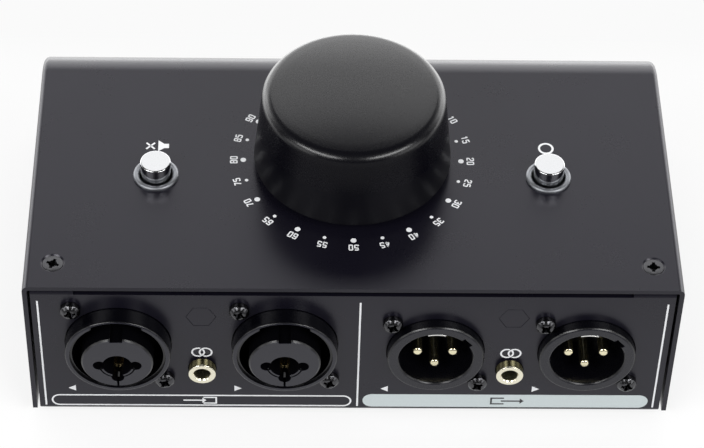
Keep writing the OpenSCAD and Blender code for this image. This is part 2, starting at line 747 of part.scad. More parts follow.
// Moulded ring, flange and body of a three-pin output
module output_shell(x) {
    ring_r = xlr_ring_d / 2;
    cup_r = xlr_cup_d / 2;
    bevel = 0.4;
    key_a = 40;                                 // direction, width and depths of the key slot
    key_w = 2.8;
    key_in = 1.1;
    key_depth = 8;
    color("#2a2a2d") at_rear(x, xlr_z) difference() {
        union() {
            rotate_extrude() polygon([[cup_r - 1, behind_z], [ring_r, behind_z],
                [ring_r, xlr_reach - bevel], [ring_r - bevel, xlr_reach],
                [cup_r + bevel, xlr_reach], [cup_r - 1, xlr_reach - bevel - 1]]);
            translate([0, 0, behind_z - flange_t]) linear_extrude(flange_t)
                round_rect(xlr_flange, xlr_flange, 2);
            translate([0, 0, -xlr_body_depth]) cylinder(r = ring_r,
                h = xlr_body_depth + behind_z);
            screw_posts(xlr_screw_d, xlr_screw_d) cylinder(d = boss_d, h = post_len);
        }
        translate([0, 0, -xlr_body_depth - cut]) cylinder(r = cup_r,
            h = xlr_body_depth + xlr_reach + 2 * cut);
        rotate(key_a) translate([cup_r - cut, -key_w / 2, -key_depth])
            cube([cut + key_in, key_w, key_depth + xlr_reach + cut]);
        screw_posts(xlr_screw_d, xlr_screw_d)
            cylinder(d = pan_shank_d + 2 * fit, h = pilot_len);
    }
}

// Block at the bottom of the cup that holds the pins
module output_insert(x) {
    color("#1d1d1f") at_rear(x, xlr_z) translate([0, 0, -xlr_body_depth]) difference() {
        cylinder(d = xlr_cup_d - 2 * fit, h = xlr_body_depth - xlr_cup_depth);
        for (p = contact_places()) translate([p.x, p.y, -cut])
            cylinder(d = pin_d + 2 * fit, h = xlr_body_depth);
    }
}

module output_pins(x) {
    r = pin_d / 2;
    nose = r / 2;
    len = board_y - pin_tip;
    color("#d8d4b8") at_rear(x, xlr_z) for (p = contact_places())
        translate([p.x, p.y, -board_y]) rotate_extrude() {
            polygon([[0, 0], [r, 0], [r, len - nose], [r - nose, len - nose], [r - nose, len],
                [0, len]]);
            translate([r - nose, len - nose]) circle(nose);
        }
}

// Strip at the top of the cup that earths a plug's shell
module output_ground_tab(x) {
    half_a = 14.5;
    color("#d9d9d4") at_rear(x, xlr_z) translate([0, 0, -xlr_cup_depth]) rotate(90 - half_a)
        rotate_extrude(angle = 2 * half_a) translate([xlr_cup_d / 2 - fit - 0.4, 0])
            square([0.4, xlr_cup_depth + xlr_reach - 0.4]);
}

// Metal barrel of a 3.5 mm jack
module mini_barrel(x) {
    r = barrel_d / 2;
    bore_r = mini_bore_d / 2;
    bevel = 0.25;
    foot_z = behind_z - 3;
    color("#e3e0cf") at_rear(x, mini_z) rotate_extrude() polygon([[bore_r, foot_z], [r, foot_z],
        [r, barrel_reach - bevel], [r - bevel, barrel_reach], [bore_r + bevel, barrel_reach],
        [bore_r, barrel_reach - bevel]]);
}

// Moulded body of a 3.5 mm jack
module mini_body(x) {
    depth = 12;
    color("#1d1d1f") at_rear(x, mini_z) translate([0, 0, behind_z - depth]) difference() {
        linear_extrude(depth) round_rect(mini_w, mini_w, 0.6);
        translate([0, 0, depth - 3]) cylinder(d = barrel_d + 2 * fit, h = 3 + cut);
        translate([0, 0, 1]) cylinder(d = mini_bore_d, h = depth);
    }
}

// Legs of a 3.5 mm jack, soldered to the connector board
module mini_legs(x) {
    depth = 12;
    color("#d8d4b8") at_rear(x, mini_z) for (p = [[-2.8, -2.5], [2.8, -2.5], [0, 3]])
        translate([p.x - 0.4, p.y - 0.2, -board_y])
            cube([0.8, 0.4, board_y + behind_z - depth]);
}

// Hexagonal studs that are clinched into the rear panel
module panel_studs() {
    color("#9a9ca0") for (x = mini_x) at_rear(x, stud_z) translate([0, 0, -board_y])
        difference() {
            cylinder(d = hex_d(stud_flats), h = board_y + clinch_z, $fn = 6);
            translate([0, 0, -cut]) cylinder(d = pan_shank_d + 2 * fit, h = pilot_len + cut);
        }
}

module stud_screws() {
    color("#9a9ca0") for (x = mini_x) at_rear(x, stud_z) translate([0, 0, -board_y - board_t])
        mirror([0, 0, 1]) pan_screw();
}

module connector_board() {
    low = 3;
    side = 5;
    w = tray_w - 2 * side;
    h = stud_z + 5 - low;
    color("#1f5b34") at_rear(0, low + h / 2) translate([0, 0, -board_y - board_t]) difference() {
        linear_extrude(board_t) round_rect(w, h, 1.5);
        for (x = mini_x) translate([-x, stud_z - low - h / 2, -cut])
            cylinder(d = pan_shank_d + 0.3, h = board_t + 2 * cut);
    }
}

// Board under the top sheet that carries the potentiometer and the switches
module control_board() {
    y = rear_y - board_y - board_t - board_gap - control_board_d / 2;
    color("#1f5b34") translate([0, y, control_z - board_t]) linear_extrude(board_t)
        round_rect(control_board_w, control_board_d, 1.5);
}

// Rigid header that joins the two boards
module board_link() {
    length = header_pins * pin_step;
    strip_y = rear_y - board_y - board_t - board_gap - header_setback;
    color("#1d1d1f") translate([header_x, strip_y, control_z]) {
        translate([-length / 2, -header_strip, 0]) cube([length, header_strip, header_strip]);
        for (i = [0 : header_pins - 1])
            translate([(i + 0.5) * pin_step - (length + header_pin) / 2, -header_strip / 2,
                (header_strip - header_pin) / 2])
                cube([header_pin, header_strip / 2 + header_setback + board_gap, header_pin]);
    }
}

cover();
base_tray();
foot(-1, 1);  // foot_rear_left
foot(1, 1);  // foot_rear_right
foot(-1, -1);  // foot_front_left
foot(1, -1);  // foot_front_right
cover_screws();
base_screws();
volume_knob();
pot_shaft();
pot_housing();
pot_bushing();
pot_washer();
pot_nut();
button_cap(button_x);  // mute_cap
button_stem(button_x);  // mute_stem
button_bezel(button_x);  // mute_bezel
button_switch(button_x);  // mute_switch
button_cap(-button_x);  // mono_cap
button_stem(-button_x);  // mono_stem
button_bezel(-button_x);  // mono_bezel
button_switch(-button_x);  // mono_switch
input_shell(combo_x[0]);  // input_left_shell
input_core(combo_x[0]);  // input_left_core
input_contacts(combo_x[0]);  // input_left_contacts
input_shell(combo_x[1]);  // input_right_shell
input_core(combo_x[1]);  // input_right_core
input_contacts(combo_x[1]);  // input_right_contacts
output_shell(xlr_x[0]);  // output_left_shell
output_insert(xlr_x[0]);  // output_left_insert
output_pins(xlr_x[0]);  // output_left_pins
output_ground_tab(xlr_x[0]);  // output_left_ground_tab
output_shell(xlr_x[1]);  // output_right_shell
output_insert(xlr_x[1]);  // output_right_insert
output_pins(xlr_x[1]);  // output_right_pins
output_ground_tab(xlr_x[1]);  // output_right_ground_tab
mini_barrel(mini_x[0]);  // mini_input_barrel
mini_body(mini_x[0]);  // mini_input_body
mini_legs(mini_x[0]);  // mini_input_legs
mini_barrel(mini_x[1]);  // mini_output_barrel
mini_body(mini_x[1]);  // mini_output_body
mini_legs(mini_x[1]);  // mini_output_legs
connector_screws();
panel_studs();
stud_screws();
connector_board();
control_board();
board_link();
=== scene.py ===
# %% [markdown]
# # Dressing a studio monitor controller
# The object is a desktop box that sets the volume of two loudspeakers. A bent steel cover lies
# over a bent steel tray, a large soft knob stands on the top between two chrome push buttons, and
# the rear carries a row of connectors.
#
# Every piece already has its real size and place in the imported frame. What is left is the finish
# of each surface and the small forms that show from close by. Places come from the frame's pieces,
# so nothing is measured twice.
# %% Load the frame
import json
import math
from types import SimpleNamespace

import bmesh
import bpy
from mathutils import Matrix, Vector

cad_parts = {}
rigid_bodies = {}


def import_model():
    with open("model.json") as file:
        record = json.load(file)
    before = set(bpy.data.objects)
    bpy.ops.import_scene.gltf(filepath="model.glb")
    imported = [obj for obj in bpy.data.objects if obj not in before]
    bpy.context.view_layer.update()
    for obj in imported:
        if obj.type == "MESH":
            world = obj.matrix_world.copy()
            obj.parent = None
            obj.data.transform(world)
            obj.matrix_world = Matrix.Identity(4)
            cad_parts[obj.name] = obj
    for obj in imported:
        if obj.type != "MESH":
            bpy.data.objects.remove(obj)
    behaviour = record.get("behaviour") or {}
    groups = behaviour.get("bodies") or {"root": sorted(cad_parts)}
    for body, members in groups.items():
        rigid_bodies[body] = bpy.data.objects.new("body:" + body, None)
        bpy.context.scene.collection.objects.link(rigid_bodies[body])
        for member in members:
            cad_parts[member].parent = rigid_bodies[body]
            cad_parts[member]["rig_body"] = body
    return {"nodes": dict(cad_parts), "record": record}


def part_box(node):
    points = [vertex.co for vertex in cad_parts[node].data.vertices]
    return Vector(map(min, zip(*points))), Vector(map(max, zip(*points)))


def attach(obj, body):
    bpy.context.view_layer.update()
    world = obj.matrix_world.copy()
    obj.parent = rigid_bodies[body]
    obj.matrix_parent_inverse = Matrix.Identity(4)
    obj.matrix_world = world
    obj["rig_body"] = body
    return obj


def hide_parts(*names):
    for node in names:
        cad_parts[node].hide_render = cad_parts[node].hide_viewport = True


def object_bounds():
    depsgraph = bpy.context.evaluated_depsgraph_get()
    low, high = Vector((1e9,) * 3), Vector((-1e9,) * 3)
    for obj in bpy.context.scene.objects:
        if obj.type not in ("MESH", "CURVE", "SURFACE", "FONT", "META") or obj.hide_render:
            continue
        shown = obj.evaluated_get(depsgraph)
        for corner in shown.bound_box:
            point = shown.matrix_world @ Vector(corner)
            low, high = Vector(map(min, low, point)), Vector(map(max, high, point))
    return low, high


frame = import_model()
cad_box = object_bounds()
MM = 0.001

# %% [markdown]
# ## Two faces to work on
# Prints and screws are easier to place on a face than in space. A face is a matrix: it takes flat
# coordinates (right, up, out) to the box. The top is read by the user, who sits in front. The rear
# is read by someone who looks at the connectors, so its "right" is the user's left.
# %% The top and the rear as drawing planes
cover_low, cover_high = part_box("cover")
tray_low, tray_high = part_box("base_tray")
rear_edge = cover_high.y
top = Matrix.Translation((0, 0, cover_high.z))
rear = Matrix(((-1, 0, 0, 0), (0, 0, 1, tray_high.y), (0, 1, 0, tray_low.z), (0, 0, 0, 1)))


def middle(node):
    """Centre of a CAD node's box"""
    low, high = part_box(node)
    return (low + high) / 2


dial = middle("volume_knob").xy
print("top at %.2f mm, rear panel at %.2f mm" % (cover_high.z / MM, tray_high.y / MM))

# %% [markdown]
# ## The camera
# The picture is taken from behind and above with a long lens, whose focal length is almost four
# frame widths. Its place and its three angles were found by fitting the corners of the box and the
# connectors, so they are plain numbers here. Yaw turns the view sideways, pitch looks down, roll
# tips the horizon. The rows of the product are the view's right, up and forward directions, and
# Blender wants right, up and backward as columns.
# %% Camera
def link_object(name, data):
    """A new object in the scene"""
    obj = bpy.data.objects.new(name, data)
    bpy.context.scene.collection.objects.link(obj)
    return obj


eye = Vector((15.3 * MM, rear_edge + 407.4 * MM, tray_low.z + 499.4 * MM))
yaw, pitch, roll = 0.0351, 0.8175, -0.0319
focal_pixels, frame_pixels, sensor_mm = 2729.0, 704, 36.0

turn = Matrix.Rotation(yaw, 3, "Z")
nod = Matrix(((1, 0, 0), (0, math.sin(pitch), math.cos(pitch)),
              (0, math.cos(pitch), -math.sin(pitch))))
tip = Matrix.Rotation(roll, 3, "Z")
from_behind = Matrix.Diagonal((-1, -1, 1))
right, up, forward = tip @ nod @ turn @ from_behind

camera_data = bpy.data.cameras.new("camera")
camera_data.sensor_width = sensor_mm
camera_data.lens = sensor_mm * focal_pixels / frame_pixels
camera = link_object("camera", camera_data)
facing = Matrix((right, up, -forward)).transposed().to_4x4()
camera.matrix_world = Matrix.Translation(eye) @ facing
bpy.context.scene.camera = camera
print("lens %.1f mm, looking down %.1f degrees"
      % (camera_data.lens, math.degrees(math.pi / 2 - pitch)))

# %% [markdown]
# ## Node trees as arithmetic
# Materials and Geometry Nodes are both networks of small operations. Wired by hand, one line of
# algebra becomes ten nodes that nobody can read back. A thin wrapper lets Python's own operators
# add those nodes, so `1 - mask * 0.3` stays one line. The mirrored forms, such as `__rsub__`, let
# a plain number stand on the left.
# %% Field and Net
def operator(name, swapped=False):
    """A method that adds a Math node for one of Python's operators"""
    def method(field, other):
        return field.net.maths(name, *((other, field) if swapped else (field, other)))
    return method


class Field:
    """An output socket that can be used in an expression"""

    def __init__(self, net, node, socket):
        self.net, self.node, self.socket = net, node, socket

    def __getitem__(self, name):
        return Field(self.net, self.node, self.node.outputs[name])

    __add__, __radd__ = operator("ADD"), operator("ADD", True)
    __sub__, __rsub__ = operator("SUBTRACT"), operator("SUBTRACT", True)
    __mul__, __rmul__ = operator("MULTIPLY"), operator("MULTIPLY", True)
    __truediv__, __rtruediv__ = operator("DIVIDE"), operator("DIVIDE", True)


class Net:
    """A node tree that is grown by calls"""

    def __init__(self, tree):
        self.tree = tree

    def add(self, kind, settings=None, sockets=None):
        """One node of the given type: its settings first, then values or links for its sockets"""
        node = self.tree.nodes.new(kind)
        for key, value in (settings or {}).items():
            setattr(node, key, value)
        for key, value in (sockets or {}).items():
            self.plug(node.inputs[key], value)
        first = next((socket for socket in node.outputs if socket.enabled), None)
        return Field(self, node, first)

    def plug(self, socket, value):
        if isinstance(value, Field):
            self.tree.links.new(value.socket, socket)
        else:
            socket.default_value = value

    def maths(self, operation, *values):
        return self.add("ShaderNodeMath", {"operation": operation}, dict(enumerate(values)))

    def fade(self, value, start, end):
        """0 up to start, 1 from end on, and a straight line between"""
        return self.add("ShaderNodeMapRange", None, {
            "Value": value, "From Min": start, "From Max": end})

    def vector(self, x=0.0, y=0.0, z=0.0):
        return self.add("ShaderNodeCombineXYZ", None, {"X": x, "Y": y, "Z": z})

    def parts(self, vector):
        """A vector taken apart, to be asked for its X, Y or Z"""
        return self.add("ShaderNodeSeparateXYZ", None, {0: vector})


# %% [markdown]
# ## A finish is a Principled shader and a few patterns
# Every surface of this box is paint, plastic, rubber or plated metal, and one Principled shader
# covers them all. What is the same all over is set on the shader's own sockets. What changes from
# place to place is a pattern on Object coordinates, which stay fixed to the piece in metres, so a
# grain of 0.2 mm is a grain of 0.2 mm on every piece.
# %% Finish
class Finish(Net):
    """A material made of one Principled shader"""

    def __init__(self, name, colour, roughness, metallic=0.0, **constants):
        self.material = bpy.data.materials.new(name)
        self.material.use_nodes = True
        super().__init__(self.material.node_tree)
        self.shader = self.tree.nodes["Principled BSDF"]
        self.set("Base Color", (*colour, 1))
        self.set("Roughness", roughness)
        self.set("Metallic", metallic)
        for key, value in constants.items():
            self.set(key.replace("_", " "), value)
        self.material.diffuse_color = (*colour, 1)
        self.place = self.add("ShaderNodeTexCoord")["Object"]

    def set(self, socket, value):
        self.plug(self.shader.inputs[socket], value)

    def grain(self, size, detail=2.0, place=None):
        """Noise between 0 and 1 whose blots are about the given size across, in metres"""
        return self.add("ShaderNodeTexNoise", {"noise_dimensions": "3D"}, {
            "Vector": place or self.place, "Scale": 1 / size, "Detail": detail})["Fac"]

    def mix(self, one, other, share):
        """A colour that goes from one to the other with a share between 0 and 1"""
        return self.add("ShaderNodeMix", {"data_type": "RGBA"}, {0: share, 6: one, 7: other})

    def tint(self, dark, light, share):
        return self.mix((*dark, 1), (*light, 1), share)

    def relief(self, height, depth, strength):
        """Bumps of the given depth, in metres"""
        self.set("Normal", self.add("ShaderNodeBump", None, {
            "Strength": strength, "Distance": depth, "Height": height}))


def shade(colour, factor):
    """A colour made darker or lighter"""
    return tuple(part * factor for part in colour)


# %% [markdown]
# ## Powder coat
# Cover and tray are steel with a baked powder coat: polyester dust that melts to a skin with a
# faint orange peel. It could be a flat black, but the real one is never flat: the skin is a very
# dark bluish grey, and most of what reaches the eye is the room, mirrored dimly by the coat. So the
# colour is low, the mirror is tinted blue too, the roughness is moderate, and two noises make the
# peel and its slight patchiness.
# %% Powder coat
def powder_coat():
    coat = Finish("powder_coat", (0.005, 0.0045, 0.0085), 0.3, IOR=1.45,
                  Specular_Tint=(0.93, 0.92, 1.0, 1.0))
    patch = coat.grain(14 * MM)
    peel = coat.grain(0.5 * MM, detail=3)
    coat.set("Base Color", coat.tint((0.0042, 0.0038, 0.0076), (0.006, 0.0054, 0.0102), patch))
    coat.set("Roughness", 0.24 + patch * 0.05 + peel * 0.04)
    coat.relief(peel, 0.004 * MM, 0.35)
    return coat.material


steel_coat = powder_coat()
print("made", steel_coat.name)

# %% [markdown]
# ## Soft-touch knob
# The knob is a hard moulding under a soft-touch lacquer, which scatters light into a wide, milky
# sheen. A velvet shader would glow at the rim, which this lacquer doesn't do. A rough Principled
# with a fine, even grain gives the same slow gradients across the crown. Hands polish the crown and
# its rim, so a coat fades in there by height, while the foot that no hand reaches stays duller.
# %% Soft-touch lacquer
def soft_touch(rim_height, foot_height):
    """Lacquer that hands polish above rim_height and leave dull near foot_height"""
    lacquer = Finish("soft_touch", (0.0015, 0.0015, 0.003), 0.3, IOR=1.37, Coat_Roughness=0.24)
    grain = lacquer.grain(0.3 * MM, detail=2)
    wear = lacquer.grain(9 * MM, detail=4)
    height = lacquer.parts(lacquer.place)["Z"]
    touched = lacquer.fade(height, rim_height - 3 * MM, rim_height + 0.5 * MM)
    untouched = lacquer.fade(height, foot_height + 10 * MM, foot_height + 2 * MM)
    lacquer.set("Base Color", lacquer.tint((0.0011, 0.001, 0.0026), (0.0021, 0.002, 0.0038), wear))
    lacquer.set("Roughness", 0.22 + grain * 0.06 + wear * 0.04 + untouched * 0.2)
    lacquer.set("Coat Weight", touched * 0.45)
    lacquer.relief(grain, 0.016 * MM, 0.8)
    return lacquer.material


KNOB_CROWN = 1.52 * MM
knob_low, knob_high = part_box("volume_knob")
knob_finish = soft_touch(knob_high.z - KNOB_CROWN, knob_low.z)
print("made", knob_finish.name)

# %% [markdown]
# ## Moulded plastics
# The connectors are glass-filled nylon. A mould that is spark-eroded leaves a fine, dull grain on
# the rings; the cores and the pin blocks come from a smoother cavity. One function makes them all,
# because they differ only in shade, gloss and the depth of the grain, and the rings and the cores
# also in painted light and shade: their outer face is painted lighter, as light on the face, and
# their sides much darker, as shade on the sides and in the gap.
# %% Plastics
def plastic(name, colour, roughness, grain_size, face=None, grain_depth=0.003 * MM):
    """A moulding; face gives its outer face's place along Y and the colour of painted light on it
    """
    moulding = Finish(name, colour, roughness, IOR=1.49)
    grain = moulding.grain(grain_size, detail=3)
    flow = moulding.grain(5 * MM, detail=2)
    tone = moulding.tint(shade(colour, 0.85), shade(colour, 1.15), flow)
    # The outer face is painted lighter as painted light, and the very dark base colour on the sides
    # and in the gap is painted shade.
    if face:
        end, lit_face_colour = face
        along = moulding.parts(moulding.place)["Y"]
        outside = moulding.fade(along, end - 0.15 * MM, end - 0.05 * MM)
        tone = moulding.mix(tone, (*lit_face_colour, 1), outside)
    moulding.set("Base Color", tone)
    moulding.set("Roughness", (roughness - 0.04) + grain * 0.08)
    moulding.relief(grain, grain_depth, 0.6)
    return moulding.material


def outer_face(node):
    """Where a connector piece ends towards the outside"""
    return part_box(node)[1].y


# Rings and cores: a near-black base as painted shade on their sides, a lighter outer face as
# painted light.
ring_plastic = plastic("ring_plastic", (0.001, 0.001, 0.0022), 0.26, 0.25 * MM,
                       (outer_face("input_left_shell"), (0.012, 0.012, 0.019)))
core_plastic = plastic("core_plastic", (0.001, 0.001, 0.0018), 0.3, 0.3 * MM,
                       (outer_face("input_left_core"), (0.015, 0.015, 0.022)))
cup_ring_plastic = plastic("cup_ring_plastic", (0.0012, 0.0012, 0.0024), 0.28, 0.25 * MM,
                           (outer_face("output_left_shell"), (0.005, 0.005, 0.01)))
cup_plastic = plastic("cup_plastic", (0.001, 0.001, 0.0014), 0.3, 0.4 * MM)
plain_black = plastic("plain_black", (0.012, 0.012, 0.013), 0.4, 0.3 * MM)
foot_rubber = plastic("foot_rubber", (0.02, 0.02, 0.02), 0.75, 0.2 * MM, None, 0.01 * MM)
print("made 6 mouldings")

# %% [markdown]
# ## Plated and turned metals
# The button caps are chrome, the bezels satin, the small barrels and the pins are plated. Metal has
# no colour of its own other than the tint of its mirror, so these finishes differ in tint and in
# how far the mirror is blurred. Fine turning marks would be rings; at this size a faint streaky
# noise that is stretched along one axis does the same.
# %% Metals
def metal(name, tint, roughness, streak=0.05):
    """Plated metal; streak is how far its roughness wavers"""
    plate = Finish(name, tint, roughness, 1.0)
    marks = plate.add("ShaderNodeMapping", None, {"Vector": plate.place, "Scale": (1, 1, 6)})
    streaks = plate.grain(0.6 * MM, 3.0, marks)
    plate.set("Base Color", plate.tint(shade(tint, 0.94), tint, streaks))
    plate.set("Roughness", (roughness - streak / 2) + streaks * streak)
    return plate.material


chrome = metal("chrome", (0.55, 0.555, 0.565), 0.07, 0.02)
satin_grey = metal("satin_grey", (0.3, 0.31, 0.33), 0.46)
pin_plating = metal("pin_plating", (0.93, 0.86, 0.6), 0.2)
warm_nickel = metal("warm_nickel", (0.93, 0.89, 0.72), 0.24)
bright_tin = metal("bright_tin", (0.85, 0.85, 0.83), 0.25)
contact_brass = metal("contact_brass", (0.78, 0.6, 0.3), 0.25)
# The barrels' threaded side is the same plating as their face; this near-black tint is painted
# shade.
thread_brown = metal("thread_brown", (0.055, 0.05, 0.028), 0.24, 0.0)
zinc = metal("zinc", (0.55, 0.56, 0.58), 0.35)
black_zinc = metal("black_zinc", (0.085, 0.085, 0.09), 0.2, 0.08)
print("made 9 metals")

# %% [markdown]
# ## Inks and solder mask
# The dial and the marks are screen printed. Ink lies on the peel of the coat, so its edge and its
# cover are slightly uneven. A picture would be the quick way, but a printed shape is only a thin
# film, so it can be a real film of 0.03 mm whose colour breathes a little.
# %% Inks and board
def ink(name, colour):
    """Screen ink, thinner here and there"""
    film = Finish(name, colour, 0.55)
    cover = film.grain(0.35 * MM, detail=3)
    film.set("Base Color", film.tint(shade(colour, 0.9), colour, cover))
    film.relief(cover, 0.003 * MM, 0.4)
    return film.material


white_ink = ink("white_ink", (0.88, 0.89, 0.91))
grey_ink = ink("grey_ink", (0.64, 0.71, 0.72))
dark_ink = ink("dark_ink", (0.03, 0.03, 0.034))
solder_mask = plastic("solder_mask", (0.02, 0.14, 0.06), 0.35, 0.8 * MM, None, 0.004 * MM)
print("made 3 inks and a solder mask")

# %% [markdown]
# ## Meshes that take light well
# A CAD node arrives as loose triangles, which is right for measuring and poor for shading: every
# curved wall shows its facets. A dressed copy is welded, its flat regions lose their triangle
# edges, and sharp corners get a small bevel, because no real corner is perfectly sharp and the
# thin line of light along it is what makes a black object readable. Weighted normals keep the big
# flat faces flat beside those bevels.
# %% Dressing helpers
def opened(mesh):
    """A mesh opened for edits, its doubles merged"""
    work = bmesh.new()
    work.from_mesh(mesh)
    bmesh.ops.remove_doubles(work, verts=work.verts, dist=0.002 * MM)
    return work


def write_back(work, mesh):
    """Puts the edits into the mesh, with all faces turned outwards"""
    bmesh.ops.recalc_face_normals(work, faces=work.faces)
    work.to_mesh(mesh)
    work.free()


def weld(mesh, flat=math.radians(0.5)):
    """Merges doubles and dissolves flat triangles"""
    work = opened(mesh)
    if flat:
        bmesh.ops.dissolve_limit(work, angle_limit=flat, verts=work.verts, edges=work.edges)
    write_back(work, mesh)


def smooth(mesh, angle=30):
    """Smooth shading, broken at edges sharper than the angle"""
    mesh.shade_smooth()
    mesh.set_sharp_from_angle(angle=math.radians(angle))


def place_piece(name, mesh, material, body, replaced=()):
    """Links a mesh as a piece that rides on a body"""
    mesh.name = name
    if material:
        mesh.materials.clear()
        mesh.materials.append(material)
    piece = link_object(name, mesh)
    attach(piece, body)
    if replaced:
        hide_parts(*replaced)
    return piece


def baked(obj):
    """The evaluated mesh of an object, which is then removed"""
    bpy.context.view_layer.update()
    graph = bpy.context.evaluated_depsgraph_get()
    mesh = bpy.data.meshes.new_from_object(obj.evaluated_get(graph))
    obj.modifiers.clear()
    data = obj.data
    bpy.data.objects.remove(obj)
    if isinstance(data, bpy.types.Mesh) and not data.users:
        bpy.data.meshes.remove(data)
    return mesh


def dress(node, material, bevel):
    """Replaces a CAD node by a welded, softly bevelled copy of itself"""
    mesh = frame["nodes"][node].data.copy()
    weld(mesh)
    smooth(mesh)
    helper = link_object("helper", mesh)
    if bevel:
        edges = helper.modifiers.new("edges", "BEVEL")
        edges.width, edges.segments = bevel, 2
        edges.limit_method, edges.angle_limit = "ANGLE", math.radians(40)
    helper.modifiers.new("shading", "WEIGHTED_NORMAL").keep_sharp = True
    return place_piece(node + "_dressed", baked(helper), material, frame["nodes"][node]["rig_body"],
                       (node,))


slots = {part["node"]: part["material_slot"] for part in frame["record"]["subparts"]}
print("slots in use:", len(set(slots.values())))

# %% [markdown]
# ## Sheet metal
# The cover and the tray are dressed first. Their cut edges were tumbled before coating, so the
# bevels are at most 0.15 mm wide. The hexagonal studs were pressed into the rear panel before the
# coat went on, so their outer ends are coated too and show as faint hexagons: the face that looks
# out gets the coat, the rest stays zinc.
# %% Cover, tray and studs
dress("cover", steel_coat, 0.15 * MM)
dress("base_tray", steel_coat, 0.12 * MM)
studs = dress("panel_studs", zinc, 0.1 * MM)
studs.data.materials.append(steel_coat)
for face in studs.data.polygons:
    face.material_index = int(face.center.y > tray_high.y - 0.15 * MM)
print("sheet metal dressed")

# %% [markdown]
# ## Plastic and metal pieces that are already right
# Rings, cores, pins and caps have their true form in the frame, so they only need the welded copy
# and a finish.
# %% Dress the connectors, buttons and feet
SIDES, BUTTONS = ("left", "right"), ("mute", "mono")
dressings = (  # name, what goes into it, finish, bevel in millimetres
    ("input_{}_shell", SIDES, ring_plastic, 0.22),
    ("input_{}_core", SIDES, core_plastic, 0.14),
    ("input_{}_contacts", SIDES, contact_brass, 0.0),
    ("output_{}_shell", SIDES, cup_ring_plastic, 0.2),
    ("output_{}_insert", SIDES, cup_plastic, 0.05),
    ("output_{}_pins", SIDES, pin_plating, 0.0),
    ("output_{}_ground_tab", SIDES, bright_tin, 0.05),
    ("{}_cap", BUTTONS, chrome, 0.0),
    ("{}_bezel", BUTTONS, satin_grey, 0.06),
    ("foot_rear_{}", SIDES, foot_rubber, 0.15),
    ("foot_front_{}", SIDES, foot_rubber, 0.15))
for name, words, finish, bevel_mm in dressings:
    for word in words:
        dress(name.format(word), finish, bevel_mm * MM)
print("dressed", 2 * len(dressings), "more pieces")

# %% [markdown]
# ## Inside the case
# Boards, switches and the potentiometer are hidden until the cover is off. They keep their CAD
# meshes, which nobody sees from close by, and only get a finish on their own slots.
# %% Finish the hidden pieces
hidden_finishes = {
    solder_mask: ("connector_board", "control_board"),
    plain_black: ("mute_stem", "mono_stem", "mute_switch", "mono_switch", "mini_input_body",
                  "mini_output_body", "board_link"),
    zinc: ("pot_shaft", "pot_housing", "pot_washer", "pot_nut", "stud_screws"),
    contact_brass: ("pot_bushing",),
    warm_nickel: ("mini_input_legs", "mini_output_legs"),
}
for finish, nodes in hidden_finishes.items():
    for node in nodes:
        for material_slot in frame["nodes"][node].material_slots:
            material_slot.material = finish
print("finished", sum(len(nodes) for nodes in hidden_finishes.values()), "hidden pieces")

